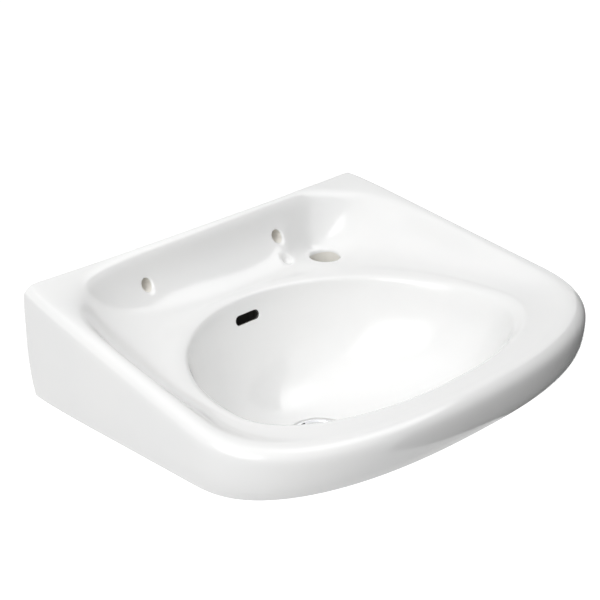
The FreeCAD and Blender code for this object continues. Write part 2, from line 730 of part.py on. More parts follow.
basin = doc.addObject("Part::Fillet", "basin")
basin.Base = machined
basin.Edges = (mouth_edges(machined.Shape, tap_mouth, mm("tap_edge"))
               + mouth_edges(machined.Shape, fixing_mouth, mm("fixing_edge"))
               + mouth_edges(machined.Shape, slot_mouth, mm("slot_edge")))


# Waste: body, seals and backnut. Heights in the outlines are measured from the flange top


def waste_body():
    """Flange, conical throat and threaded tail, with overflow windows and a bridge inside."""
    flange = cell("flange_diameter") / 2
    tail = cell("tail_diameter") / 2
    bore = cell("throat_bottom") / 2
    throat = cell("throat_top") / 2
    cone = throat + cell("throat_wall")
    under = -cell("flange_thickness")
    bevel = cell("flange_bevel")
    turning = turned("waste_turning", (
        (throat, ZERO),
        (bore, bore - throat),
        (bore, -cell("waste_length")),
        (tail, -cell("waste_length")),
        (tail, tail - cone),
        (cone + under, under),
        (flange, under),
        (flange, -bevel),
        (flange - bevel, ZERO),
    ), flange_top)
    windows = []
    arms = []
    for name, along in (("across", True), ("to_wall", False)):
        reach = cell("tail_diameter") + cell("overrun") * 2
        width = cell("window_width")
        long, wide = (reach, width) if along else (width, reach)
        windows.append(make("Part::Box", f"window_{name}", Length=long, Width=wide,
                            Height=cell("window_height"), x=-(long / 2), y=outlet_y - wide / 2,
                            z=flange_top - cell("window_drop") - cell("window_height") / 2))
        reach = (cell("throat_bottom") + cell("tail_diameter")) / 2
        width = cell("bridge_arm")
        long, wide = (reach, width) if along else (width, reach)
        arms.append(make("Part::Box", f"arm_{name}", Length=long, Width=wide,
                         Height=cell("bridge_thickness"), x=-(long / 2), y=outlet_y - wide / 2,
                         z=bridge_top - cell("bridge_thickness")))
    hub = cylinder("bridge_hub", cell("bridge_hub"), bridge_top - cell("bridge_thickness"),
                   cell("bridge_thickness"), y=outlet_y)
    stud_hole = cylinder("stud_hole", cell("stud_diameter"), bridge_top - cell("stud_length"),
                         cell("stud_length") + cell("overrun"), y=outlet_y)
    bridged = fuse("bridged_tail", cut("windowed_tail", turning, *windows), *arms, hub)
    return cut("waste_body", bridged, stud_hole)


def washer(name, outer, bore, foot, height):
    whole = cylinder(f"{name}_disc", outer, foot, height, y=outlet_y)
    hole = cylinder(f"{name}_hole", bore, foot - cell("overrun"), height + cell("overrun") * 2,
                    y=outlet_y)
    return cut(name, whole, hole)


def lower_seal():
    """Tapered rubber washer between the boss and the slip washer."""
    outer = cell("lower_seal_diameter") / 2
    whole = make("Part::Cone", "lower_seal_cone", Radius1=outer - cell("lower_seal_taper"),
                 Radius2=outer, Height=cell("lower_seal_thickness"), y=outlet_y, z=lower_seal_foot)
    hole = cylinder("lower_seal_hole", tail_hole, lower_seal_foot - cell("overrun"),
                    cell("lower_seal_thickness") + cell("overrun") * 2, y=outlet_y)
    return cut("lower_seal", whole, hole)


def backnut():
    """Flat hexagon nut with a round collar against the washer."""
    foot = slip_washer_foot - cell("backnut_height")
    sides = 6
    hexagon = make("Part::Prism", "backnut_hexagon",
                   Circumradius=cell("backnut_flats") / (2 * math.cos(math.pi / sides)),
                   Height=cell("backnut_height"), y=outlet_y, z=foot)
    hexagon.Polygon = sides
    collar = cylinder("backnut_rim", cell("backnut_collar"),
                      slip_washer_foot - cell("backnut_collar_height"),
                      cell("backnut_collar_height"), y=outlet_y)
    hole = cylinder("backnut_hole", tail_hole, foot - cell("overrun"),
                    cell("backnut_height") + cell("overrun") * 2, y=outlet_y)
    return cut("backnut", fuse("backnut_blank", hexagon, collar), hole)


tail_hole = cell("tail_diameter") + cell("thread_gap") * 2
lower_seal_foot = boss_under - cell("lower_seal_thickness")
slip_washer_foot = lower_seal_foot - cell("slip_washer_thickness")


# Push-open cartridge and plug, drawn with the plug down


def cartridge_foot():
    """Disc with a threaded stud that holds the cartridge on the bridge."""
    disc = cell("housing_bore") / 2
    stud = cell("stud_diameter") / 2
    return turned("cartridge_foot", (
        (ZERO, -cell("stud_length")),
        (stud, -cell("stud_length")),
        (stud, ZERO),
        (disc, ZERO),
        (disc, cell("foot_disc")),
        (ZERO, cell("foot_disc")),
    ), bridge_top)


def cartridge_housing():
    """Cup over the spring, whose roof guides the spindle."""
    outer = cell("housing_diameter") / 2
    inner = cell("housing_bore") / 2
    guide = cell("spindle_diameter") / 2 + cell("spindle_gap")
    roof = cell("housing_height") - cell("housing_roof")
    return turned("cartridge_housing", (
        (inner, ZERO),
        (outer, ZERO),
        (outer, cell("housing_height")),
        (guide, cell("housing_height")),
        (guide, roof),
        (inner, roof),
    ), bridge_top)


def helix_point(radius, pitch, turn):
    """Place and direction on a helix, after some turns."""
    angle = 2 * math.pi * turn
    place = FreeCAD.Vector(radius * math.cos(angle), radius * math.sin(angle), pitch * turn)
    way = FreeCAD.Vector(-radius * math.sin(angle), radius * math.cos(angle), pitch / (2 * math.pi))
    return place, way.normalize()


def biarc(start, leaving, end, arriving):
    """Two arcs that join smoothly and leave and arrive in the given directions."""
    chord = end - start
    lean = chord.dot(leaving + arriving)
    bend = 2 * (1 - leaving.dot(arriving))
    reach = (math.sqrt(lean ** 2 + bend * chord.dot(chord)) - lean) / bend
    first_corner = start + leaving * reach
    last_corner = end - arriving * reach
    joint = (first_corner + last_corner) / 2
    return [tangent_arc(start, first_corner, joint).toShape(),
            tangent_arc(joint, last_corner, end).toShape()]


def least_gap(course, turns, wire):
    """Least gap of a coil to itself, from points at least half a turn apart."""
    per_turn = 48
    points = course.discretize(int(per_turn * turns) + 1)
    apart = per_turn // 2
    return min(here.distanceToPoint(there) for i, here in enumerate(points)
               for there in points[i + apart:]) - wire


def spring():
    """Coil spring between the foot's disc and the spindle's shoulder, pressed together."""
    quarters = 15
    turns = quarters / 4
    wire = mm("spring_wire")
    pitch = (mm("spring_length") - wire - 2 * mm("spring_gap")) / turns
    stops = [helix_point(mm("spring_diameter") / 2, pitch, step / 4) for step in range(quarters + 1)]
    arcs = []
    for here, there in zip(stops, stops[1:]):
        arcs += biarc(*here, *there)
    course = Part.Wire(arcs)
    print("least gap between the spring's turns:", round(least_gap(course, turns, wire), 3), "mm")
    start, way = stops[0]
    section = Part.Wire(Part.Circle(start, way, wire / 2).toShape())
    tube = Part.BRepOffsetAPI.MakePipeShell(course)
    tube.add(section)
    tube.build()
    tube.makeSolid()
    print("spring's volume by its section and length:",
          round(tube.shape().Volume / (math.pi * wire ** 2 / 4 * course.Length), 4))
    result = shaped("spring", tube.shape())
    return bind(result, y=outlet_y, z=bridge_top + cell("foot_disc") + cell("spring_gap")
                + cell("spring_wire") / 2)


def spindle():
    """Rod of the plug, with a shoulder that the spring pushes up."""
    rod = cell("spindle_diameter") / 2
    shoulder = cell("shoulder_diameter") / 2
    foot = cell("foot_disc") + cell("spring_length")
    top = cell("bridge_drop") - cell("cap_sink") - cell("socket_height") + cell("socket_depth")
    return turned("spindle", (
        (ZERO, foot),
        (shoulder, foot),
        (shoulder, foot + cell("shoulder_height")),
        (rod, foot + cell("shoulder_height")),
        (rod, top),
        (ZERO, top),
    ), bridge_top)


def plug_cap():
    """Domed cap with a skirt for the O-ring and a socket for the spindle."""
    rim = cell("cap_diameter") / 2
    skirt = cell("skirt_diameter") / 2
    skirt_inside = skirt - cell("skirt_wall")
    socket = cell("socket_diameter") / 2
    rod = cell("spindle_diameter") / 2
    under = -cell("cap_sink")
    edge = under + cell("cap_edge")
    return turned("plug_cap", (
        (rim, edge),
        (ZERO, edge + cell("cap_dome")),
        (ZERO, under - cell("socket_height") + cell("socket_depth")),
        (rod, under - cell("socket_height") + cell("socket_depth")),
        (rod, under - cell("socket_height")),
        (socket, under - cell("socket_height")),
        (socket, under),
        (skirt_inside, under),
        (skirt_inside, under - cell("skirt_height")),
        (skirt, under - cell("skirt_height")),
        (skirt, under),
        (rim, under),
    ), flange_top, dome=0)


def plug_seal():
    """O-ring round the skirt. The throat is a cone of 45 degrees, which the ring just clears."""
    wire = cell("ring_wire") / 2
    middle = cell("skirt_diameter") / 2 + wire
    drop = cell("throat_top") / 2 - middle - (wire + cell("ring_gap")) * math.sqrt(2)
    return make("Part::Torus", "plug_seal", Radius1=middle, Radius2=wire, y=outlet_y,
                z=flange_top - drop)


pieces = {
    "basin": basin,
    "waste_body": waste_body(),
    "flange_seal": washer("flange_seal", cell("flange_seal_diameter"), cell("flange_seal_bore"),
                          seat, cell("flange_seal_thickness")),
    "lower_seal": lower_seal(),
    "slip_washer": washer("slip_washer", cell("slip_washer_diameter"), tail_hole,
                          slip_washer_foot, cell("slip_washer_thickness")),
    "backnut": backnut(),
    "cartridge_foot": cartridge_foot(),
    "cartridge_housing": cartridge_housing(),
    "spring": spring(),
    "spindle": spindle(),
    "plug_cap": plug_cap(),
    "plug_seal": plug_seal(),
}
doc.recompute()

for thing in doc.Objects:
    if "Invalid" in thing.State or "Error" in thing.State:
        raise RuntimeError(f"{thing.Name} did not compute: {thing.State}")
os.makedirs("parts", exist_ok=True)
for name, piece in pieces.items():
    piece.Label = name
    shape = piece.Shape
    if shape.isNull() or not shape.isValid() or len(shape.Solids) != 1:
        raise RuntimeError(f"{name} is not one valid solid")
    shape.exportStep(f"parts/{name}.step")
    print(name, round(shape.Volume), "mm3")
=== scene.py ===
import json
import math
from contextlib import contextmanager

import bmesh
import bpy
import numpy as np
from mathutils import Matrix, Vector


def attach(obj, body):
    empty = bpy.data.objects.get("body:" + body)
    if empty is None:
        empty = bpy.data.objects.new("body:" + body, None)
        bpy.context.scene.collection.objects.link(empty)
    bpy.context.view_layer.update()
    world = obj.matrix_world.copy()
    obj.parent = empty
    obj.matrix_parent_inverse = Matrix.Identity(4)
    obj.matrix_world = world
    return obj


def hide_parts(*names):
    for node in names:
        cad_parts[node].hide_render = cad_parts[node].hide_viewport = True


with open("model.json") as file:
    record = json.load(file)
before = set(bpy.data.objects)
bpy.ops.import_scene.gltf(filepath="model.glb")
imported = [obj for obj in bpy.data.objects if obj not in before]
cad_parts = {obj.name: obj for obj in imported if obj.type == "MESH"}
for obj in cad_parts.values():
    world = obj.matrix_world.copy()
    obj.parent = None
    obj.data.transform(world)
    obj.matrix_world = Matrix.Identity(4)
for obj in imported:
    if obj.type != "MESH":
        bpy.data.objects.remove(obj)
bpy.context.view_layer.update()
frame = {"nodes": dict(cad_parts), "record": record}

# Wall-hung washbasin in glazed vitreous china with its push-open waste. Metres, +Z up, the
# wall is the plane y = 0 and the origin is midway between the two wall fixing holes.

mounts = {mount["name"]: mount for mount in frame["record"]["mounts"]}
MM = 0.001

# Driving sizes of the casting
WIDTH = 0.55
DEPTH = 0.4145
BACK_HEIGHT = 0.1285
FIXING_HEIGHT = 0.09
FRONT_RISE = 0.017
FRONT_CREST = 0.064
WIDEST_AT = 0.285
APRON_TUCK = 0.008
CREST_RADIUS = 0.013
CREST_BLEND = 0.004
DECK_HEIGHT = 0.0615
SIDE_RUN = 0.044
FRONT_RUN = 0.026
BACKSPLASH_RUN = 0.047
CREST_BEHIND_WALL = 0.016
SKIRT_BEHIND_WALL = 0.09
RIM_HALF_WIDTH = 0.2015
RIM_FRONT = 0.366
RIM_BACK = 0.068
RIM_CENTRE = 0.266
LIP_WIDTH = 0.013
BOWL_DEPTH = 0.1315
OUTLET_FROM_WALL = 0.185
FLOOR_RING_RADIUS = 0.02
BOWL_WALL = 0.0095
DECK_WALL = 0.011
APRON_WALL = 0.0125
FOOT_WIDTH = 0.011
BACK_WALL = 0.013
TAP_RISE = 0.0025
LANDING_RADIUS = 0.021
LANDING_BLEND = 0.026

# Holes and outlet
TAP_EDGE = 0.0035
TAP_BOSS_RADIUS = 0.028
TAP_BOSS_THICKNESS = 0.016
FIXING_EDGE = 0.003
SLOT_WIDTH = 0.036
SLOT_HEIGHT = 0.011
SLOT_DROP = 0.026
SLOT_EDGE = 0.0015
SLOT_STEP = 0.0002
DIMPLE_FROM_CENTRE = 0.094
DIMPLE_FROM_WALL = 0.0425
DIMPLE_RADIUS = 0.0075
DIMPLE_DEPTH = 0.0036
CHANNEL_WIDTH = 0.04
CHANNEL_DEPTH = 0.01
CHANNEL_HEAD = 0.002
CHANNEL_SET = 0.011
CHANNEL_WALL = 0.007
CHANNEL_CORNER_FROM_WALL = 0.088
CHANNEL_CORNER_RISE = 0.014
CHANNEL_BEND = 0.09
FLANGE_RISE = 0.0025
FLANGE_STACK = 0.0045
WINDOW_DROP = 0.017
OUTLET_BORE_RADIUS = 0.023
REBATE_RADIUS = 0.0335
REBATE_EDGE = 0.0012
COUNTERSINK_RADIUS = 0.027
BOSS_THICKNESS = 0.026
BOSS_RADIUS = 0.039
BOSS_TOP_RADIUS = 0.0431
BOSS_FILLET = 0.005
FOOT_EDGE = 0.0012

BASE = -FIXING_HEIGHT
DECK = BASE + DECK_HEIGHT
TAP_LANDING = DECK + TAP_RISE
BOWL_FLOOR = DECK - BOWL_DEPTH
FLANGE_TOP = BOWL_FLOOR + FLANGE_RISE
SEAT = FLANGE_TOP - FLANGE_STACK
BOSS_UNDER = SEAT - BOSS_THICKNESS
SLOT_LEVEL = DECK - SLOT_DROP

# Shapes of the rings: Lame curves, where 2 is an ellipse and more is squarer
OUTLINE_FRONT_POWER = 2.39
OUTLINE_BACK_POWER = 8
UNDER_BACK_POWER = 14
RIM_FRONT_POWER = 2.2
RIM_BACK_POWER = 2.11
TAPER_SHARE = 0.075
RIDGE_SLOPE_SHARE = 0.179
CORNER_ANGLE = 47.0
CORNER_SPREAD = 40.0
RAYS = 35

# Apron: share of the tuck, share of the height up to the ridge
APRON_SHARES = ((1, 0), (0.52, 0.14), (0.15, 0.34), (0, 0.56))
# Rolled edge: degrees of the roll, share of the way back to the skirt, power of the back
ROLL_TURNS = ((0, 1, 8), (30, 0.7, 9), (60, 0.35, 11), (90, 0, 16))
# Hollowed slope: shares of the side and front runs, of the backsplash's run and of the drop to
# the deck, and the power of the back
HOLLOW_SHARES = (
    (0.16, 0.13, 0.05, 6.3),
    (0.31, 0.24, 0.26, 5.2),
    (0.5, 0.39, 0.55, 4.3),
    (0.74, 0.7, 0.8, 3.6),
    (1, 1, 0.95, 3.0),
)
# Deck: shares of the lip outside the rim at the side, front and back, and below the deck, and
# the power of the back
DECK_SHARES = ((0.85, 0.6, 1, 0, 2.6), (0.45, 0.35, 0.5, 0.02, 2.35))
# Bowl: shares of the reach to the side, front and back and of the depth, and how far the wall
# has turned from upright to level
BOWL_SHARES = (
    (1, 1, 1, 0.02, 0.35),
    (0.973, 0.972, 0.985, 0.062, 0.2),
    (0.948, 0.945, 0.972, 0.15, 0.16),
    (0.913, 0.895, 0.925, 0.3, 0.25),
    (0.851, 0.818, 0.863, 0.48, 0.4),
    (0.744, 0.713, 0.788, 0.65, 0.55),
    (0.596, 0.586, 0.68, 0.79, 0.68),
    (0.417, 0.442, 0.558, 0.885, 0.8),
    (0.258, 0.282, 0.434, 0.945, 0.9),
    (0.169, 0.188, 0.3, 0.975, 1),
)
LIP_ROWS = 2
UNDER_APRON_SHARES = ((1, 0, 0), (0.25, 0.75, 0.35), (0, 1, 0.7))
HOLLOW_UNDER_SHARES = ((0.1, 0.07, 0.6, 0.65, 12), (0.3, 0.15, 0.12, 0.6, 9), (0.55, 0.28, 0, 0.33, 6))
UNDER_APRON_RISE_SHARE = 0.65
CEILING_BACK_SHARE = 0.45
LIP_UNDER_SHARE = 0.25

# How finely the surfaces are divided between the rings and round them
ROUND_STEPS = 4
DOWN_STEPS = 5
UNDER_DOWN_STEPS = 3
EDGE_STEPS = 6
TAP_POINTS = 64
SLOT_POINTS = 72
ROUND_POINTS = 48
BEND_STEPS = 14
DIMPLE_ROWS = 12
DIMPLE_EDGE_POWER = 3
DIMPLE_POWER = 1.5
# Rows round a hole, as shares of the way from its rounding to the loop of cells left out
MOUTH_SHARES = (0.8, 0.55, 0.3, 0.12, 0)
# Rows from a sheet's last one to the rounding of the outlet
LEAD_SHARES = (0.33, 0.66, 1)

# Where the rings of the sheets end and the outlet's own rows begin
GLAZED_END_RADIUS = REBATE_RADIUS + 2 * REBATE_EDGE
UNDER_END_RADIUS = BOSS_TOP_RADIUS + 1.2 * BOSS_FILLET

# Edges that turn by more degrees than these stay sharp
CHINA_CREASE = 38
WASTE_CREASE = 35

# Points closer than this are one point
SAME_PLACE = 1e-7

# Faces of the casting by finish. The last is painted shade: the inside of the overflow channel and its slot
# is painted near-black for the shadow in it.
GLAZED, SPRAYED, BARE, SHADED_INSIDE = range(4)

ACROSS = np.array((1.0, 0.0, 0.0))
TO_WALL = np.array((0.0, 1.0, 0.0))
UP = np.array((0.0, 0.0, 1.0))
MIDDLE = np.zeros((1, 2))


# Ring surfaces of the casting


def ray_angles():
    """Angles of the points of a ring, closest together round the back corners."""
    quarter = 90.0
    first = math.asinh((-quarter - CORNER_ANGLE) / CORNER_SPREAD)
    last = math.asinh((quarter - CORNER_ANGLE) / CORNER_SPREAD)
    places = np.linspace(first, last, RAYS + 1)
    right = np.radians(CORNER_ANGLE + CORNER_SPREAD * np.sinh(places))
    return np.concatenate((right, np.pi - right[-2:0:-1]))


ANGLES = ray_angles()


def ring(half_width, front, back, centre, powers, level):
    """A closed ring of points. Front, back and centre are distances from the wall."""
    ahead = np.sin(ANGLES) < 0
    reach = np.where(ahead, front - centre, centre - back)
    power = np.where(ahead, powers[0], powers[1])
    across = (np.abs(np.cos(ANGLES)) / half_width) ** power
    along = (np.abs(np.sin(ANGLES)) / reach) ** power
    radius = (across + along) ** (-1 / power)
    x = radius * np.cos(ANGLES)
    y = radius * np.sin(ANGLES) - centre
    x = x * (1 - TAPER_SHARE * np.maximum(y + WIDEST_AT, 0) / WIDEST_AT)
    return np.stack((x, y, level(x, y)), axis=1)


def outline(inset, back, back_power, level):
    """A ring along the basin's outline, inset as much at the sides as at the front."""
    return ring(WIDTH / 2 - inset, DEPTH - inset, back, WIDEST_AT, (OUTLINE_FRONT_POWER, back_power), level)


def rim_ring(side, front, back, back_power, level):
    """A ring that lies outside the bowl's rim by as much as is given for its sides."""
    return ring(RIM_HALF_WIDTH + side, RIM_FRONT + front, RIM_BACK - back, RIM_CENTRE,
                (RIM_FRONT_POWER, back_power), level)


def lower_edge(x, y):
    return BASE + FRONT_RISE * np.maximum(-y, 0) / DEPTH


def ridge(x, y):
    """The crest line: straight down from the back corners, levelling out at the front."""
    slope = BASE + BACK_HEIGHT + RIDGE_SLOPE_SHARE * y
    front = BASE + FRONT_CREST
    return front + CREST_BLEND * np.log1p(np.exp((slope - front) / CREST_BLEND))


def deck_plane(x, y):
    return np.full_like(x, DECK)


def mix(low, high, share):
    return lambda x, y: low(x, y) + share * (high(x, y) - low(x, y))


def shifted(level, rise):
    return lambda x, y: level(x, y) + rise


def eased(share):
    share = np.clip(share, 0, 1)
    return share * share * (3 - 2 * share)


def landed(level, landing=TAP_LANDING, radius=LANDING_RADIUS):
    """A level with a flat place for the tap blended in."""
    tap = mounts["tap_hole"]["pos_m"]

    def flattened(x, y):
        away = np.hypot(x - tap[0], y - tap[1])
        return landing + (level(x, y) - landing) * eased((away - radius) / LANDING_BLEND)
    return flattened


def bowl_rings(shares_used, wall):
    """Rings down the bowl. With a wall they are the rings of its outside."""
    for side_share, front_share, back_share, depth_share, turn_share in shares_used:
        turn = turn_share * math.pi / 2
        out = wall * math.cos(turn)
        yield ring(side_share * RIM_HALF_WIDTH + out,
                   OUTLET_FROM_WALL + front_share * (RIM_FRONT - OUTLET_FROM_WALL) + out,
                   OUTLET_FROM_WALL - back_share * (OUTLET_FROM_WALL - RIM_BACK) - out,
                   OUTLET_FROM_WALL + front_share * (RIM_CENTRE - OUTLET_FROM_WALL),
                   (RIM_FRONT_POWER, RIM_BACK_POWER),
                   shifted(deck_plane, -depth_share * BOWL_DEPTH - wall * math.sin(turn)))
    yield ring(FLOOR_RING_RADIUS, OUTLET_FROM_WALL + FLOOR_RING_RADIUS,
               OUTLET_FROM_WALL - FLOOR_RING_RADIUS, OUTLET_FROM_WALL, (2, 2),
               shifted(deck_plane, -BOWL_DEPTH - wall))


def glazed_rings():
    """From the lower edge of the apron over the ridge, down to the deck and into the bowl."""
    for tuck_share, height_share in APRON_SHARES:
        yield outline(tuck_share * APRON_TUCK, -SKIRT_BEHIND_WALL, OUTLINE_BACK_POWER,
                      mix(lower_edge, ridge, height_share))
    for turn, behind_share, back_power in ROLL_TURNS:
        inset = CREST_RADIUS * (1 - math.cos(math.radians(turn)))
        drop = CREST_RADIUS * (1 - math.sin(math.radians(turn)))
        behind = CREST_BEHIND_WALL + behind_share * (SKIRT_BEHIND_WALL - CREST_BEHIND_WALL)
        yield outline(inset, -behind, back_power, shifted(ridge, -drop))
    for run_share, back_share, drop_share, back_power in HOLLOW_SHARES:
        yield ring(WIDTH / 2 - CREST_RADIUS - run_share * SIDE_RUN,
                   DEPTH - CREST_RADIUS - run_share * FRONT_RUN,
                   back_share * BACKSPLASH_RUN, WIDEST_AT + run_share * (RIM_CENTRE - WIDEST_AT),
                   (OUTLINE_FRONT_POWER, back_power), landed(mix(ridge, deck_plane, drop_share)))
    for side_share, front_share, back_share, drop_share, back_power in DECK_SHARES:
        yield rim_ring(side_share * LIP_WIDTH, front_share * LIP_WIDTH, back_share * LIP_WIDTH,
                       back_power, landed(shifted(deck_plane, -drop_share * LIP_WIDTH)))
    yield from bowl_rings(BOWL_SHARES, 0)


def hollow_ceiling(rise_share):
    """Ceiling of the hollow: under the deck, and up inside the ridges, less near the wall."""
    def level(x, y):
        wall_share = CEILING_BACK_SHARE + (1 - CEILING_BACK_SHARE) * eased(-y / (2 * BACKSPLASH_RUN))
        return DECK - DECK_WALL + rise_share * wall_share * (ridge(x, y) - DECK)
    return landed(level, TAP_LANDING - DECK_WALL, LANDING_RADIUS + DECK_WALL)


def underside_rings():
    """From the apron's lower edge up inside the hollow and down the outside of the bowl."""
    for foot_share, wall_share, height_share in UNDER_APRON_SHARES:
        inset = foot_share * (APRON_TUCK + FOOT_WIDTH) + wall_share * APRON_WALL
        yield outline(inset, BACK_WALL, UNDER_BACK_POWER,
                      mix(lower_edge, hollow_ceiling(UNDER_APRON_RISE_SHARE), height_share))
    for run_share, back_share, drop_share, rise_share, back_power in HOLLOW_UNDER_SHARES:
        yield ring(WIDTH / 2 - APRON_WALL - run_share * SIDE_RUN,
                   DEPTH - APRON_WALL - run_share * FRONT_RUN,
                   BACK_WALL + back_share * BACKSPLASH_RUN, WIDEST_AT, (OUTLINE_FRONT_POWER, back_power),
                   shifted(hollow_ceiling(rise_share), -drop_share * APRON_WALL))
    out = BOWL_WALL + LIP_UNDER_SHARE * LIP_WIDTH
    yield rim_ring(out, out, out, RIM_BACK_POWER, shifted(deck_plane, -DECK_WALL - BOWL_WALL / 2))
    yield from bowl_rings(BOWL_SHARES[LIP_ROWS:], BOWL_WALL)


class RingSurface:
    """A smooth cubic surface that follows rings. u counts points round a ring, v counts rings."""

    def __init__(self, rings):
        rings = np.array(list(rings))
        rounds = rings + (2 * rings - np.roll(rings, 1, axis=1) - np.roll(rings, -1, axis=1)) / 6
        rows = rounds.copy()
        rows[1:-1] += (2 * rounds[1:-1] - rounds[:-2] - rounds[2:]) / 6
        self.control = np.concatenate(((2 * rows[:1] - rows[1:2]), rows, (2 * rows[-1:] - rows[-2:-1])))
        self.spans = len(rings) - 1
        self.count = rings.shape[1]

    @staticmethod
    def weights(t):
        return ((1 - t) ** 3 / 6, (3 * t ** 3 - 6 * t ** 2 + 4) / 6,
                (-3 * t ** 3 + 3 * t ** 2 + 3 * t + 1) / 6, t ** 3 / 6)

    def points(self, u, v):
        u, v = np.broadcast_arrays(np.asarray(u, float), np.asarray(v, float))
        i = np.floor(u).astype(int)
        j = np.clip(np.floor(v).astype(int), 0, self.spans - 1)
        result = np.zeros(u.shape + (3,))
        for a, round_weight in enumerate(self.weights(u - i)):
            for b, down_weight in enumerate(self.weights(v - j)):
                corner = self.control[j + b, (i - 1 + a) % self.count]
                result += (round_weight * down_weight)[..., None] * corner
        return result

    def nearest(self, place):
        """The u and v of a dense grid's point closest to a place."""
        round_step, down_step = 0.5, 0.25
        u, v = np.meshgrid(np.arange(0, self.count, round_step), np.arange(0, self.spans, down_step))
        away = np.linalg.norm(self.points(u, v) - place, axis=2)
        spot = np.unravel_index(away.argmin(), away.shape)
        return u[spot], v[spot]

    def aim(self, centre, up, targets, guess):
        """The u and v of the surface's points at targets that count across and up from a centre."""
        u = np.broadcast_to(guess[0], len(targets)).astype(float)
        v = np.broadcast_to(guess[1], len(targets)).astype(float)
        sides = np.stack((ACROSS, up), axis=1)
        nudge, longest, rounds = 1e-4, 0.5, 30
        for _ in range(rounds):
            here = self.points(u, v)
            miss = (here - centre) @ sides - targets
            by_u = (self.points(u + nudge, v) - here) @ sides / nudge
            by_v = (self.points(u, v + nudge) - here) @ sides / nudge
            area = by_u[:, 0] * by_v[:, 1] - by_u[:, 1] * by_v[:, 0]
            step_u = (miss[:, 0] * by_v[:, 1] - miss[:, 1] * by_v[:, 0]) / area
            step_v = (by_u[:, 0] * miss[:, 1] - by_u[:, 1] * miss[:, 0]) / area
            u = u - np.clip(step_u, -longest, longest)
            v = np.clip(v - np.clip(step_v, -longest, longest), 0, self.spans)
        return u, v


# Mesh of the casting


def within_half_turn(turns):
    return (turns + math.pi) % (2 * math.pi) - math.pi


def turns_about(points, centre, up):
    """The angles of points about a centre, from the direction across the basin towards up."""
    return np.arctan2((points - centre) @ up, (points - centre) @ ACROSS)


class Shell:
    """Points and faces of a mesh in the making, with the finish of each face."""

    def __init__(self):
        self.points, self.faces, self.finishes = [], [], []

    def add(self, points):
        """Adds points and returns their numbers."""
        first = len(self.points)
        self.points.extend(points.reshape(-1, 3).tolist())
        return np.arange(first, len(self.points)).reshape(points.shape[:-1])

    def face(self, corners, finish):
        self.faces.append([int(corner) for corner in corners])
        self.finishes.append(finish)

    def band(self, lower, upper, finish):
        """Quads between two closed loops of as many points."""
        for corners in zip(lower, np.roll(lower, -1), np.roll(upper, -1), upper):
            self.face(corners, finish)

    def bands(self, loop, rows, finish):
        """Bands from a loop through rows of points. Returns the last loop."""
        for row in rows:
            following = self.add(row)
            self.band(loop, following, finish)
            loop = following
        return loop

    def stitch(self, outer, outer_turns, inner, inner_turns, finish):
        """Triangles between two closed loops whose points lie at rising turns about a centre."""
        start = int(np.argmin(np.abs(np.exp(1j * inner_turns) - np.exp(1j * outer_turns[0]))))
        inner, inner_turns = np.roll(inner, -start), np.roll(inner_turns, -start)

        def unrolled(turns):
            steps = within_half_turn(np.diff(np.append(turns, turns[0])))
            return np.concatenate(((0.0,), np.cumsum(steps)))

        outer_way, inner_way = unrolled(outer_turns), unrolled(inner_turns)
        i = j = 0
        while i < len(outer) or j < len(inner):
            here, there = outer[i % len(outer)], inner[j % len(inner)]
            if j == len(inner) or (i < len(outer) and outer_way[i + 1] <= inner_way[j + 1]):
                i += 1
                self.face((here, outer[i % len(outer)], there), finish)
            else:
                j += 1
                self.face((here, inner[j % len(inner)], there), finish)


class Sheet:
    """A ring surface divided into quads, with blocks of them left out for the holes."""

    def __init__(self, shell, rings, down_steps, end_radius, finish):
        """The sheet ends with its last row that lies outside a circle about the outlet."""
        self.shell = shell
        self.surface = surface = RingSurface(rings)
        self.finish = finish
        self.columns = np.arange(surface.count * ROUND_STEPS) / ROUND_STEPS
        rows = np.arange(1, surface.spans * down_steps + 1) / down_steps
        x, y = surface.points(np.arange(surface.count), rows[:, None])[..., :2].T
        outside = np.hypot(x, y + OUTLET_FROM_WALL).min(axis=0) > end_radius
        self.rows = rows[rows <= rows[outside].max()]
        grid_u, grid_v = np.meshgrid(self.columns, self.rows)
        self.places = surface.points(grid_u, grid_v)
        self.numbers = shell.add(self.places)
        self.left_out = np.zeros(self.numbers.shape, bool)

    def block(self, u, v, spare, place, up):
        """Leaves out the cells under some points, and spare ones round them.

        Returns the loop round them, its place on the surface and its turns about the place.
        """
        low_u = int(np.floor(u.min() * ROUND_STEPS)) - spare
        high_u = int(np.ceil(u.max() * ROUND_STEPS)) + spare
        low_v = int(np.searchsorted(self.rows, v.min())) - 1 - spare
        high_v = int(np.searchsorted(self.rows, v.max())) + spare
        if self.left_out[low_v:high_v, low_u:high_u].any():
            raise ValueError("two holes need the same cells")
        self.left_out[low_v:high_v, low_u:high_u] = True
        loop = [(low_v, i) for i in range(low_u, high_u)]
        loop += [(i, high_u) for i in range(low_v, high_v)]
        loop += [(high_v, i) for i in range(high_u, low_u, -1)]
        loop += [(i, low_u) for i in range(high_v, low_v, -1)]
        rows, columns = np.array(loop).T
        numbers, loop_u, loop_v = self.numbers[rows, columns], self.columns[columns], self.rows[rows]
        turns = turns_about(self.surface.points(loop_u, loop_v), place, up)
        if np.sum(within_half_turn(np.diff(turns))) < 0:
            return numbers[::-1], loop_u[::-1], loop_v[::-1], turns[::-1]
        return numbers, loop_u, loop_v, turns

    def finish_faces(self):
        """Quads of all the cells that no hole has left out."""
        after = np.roll(self.numbers, -1, axis=1)
        quads = np.stack((self.numbers[:-1], after[:-1], after[1:], self.numbers[1:]), axis=2)
        for corners in quads[~self.left_out[:-1]]:
            self.shell.face(corners, self.finish)


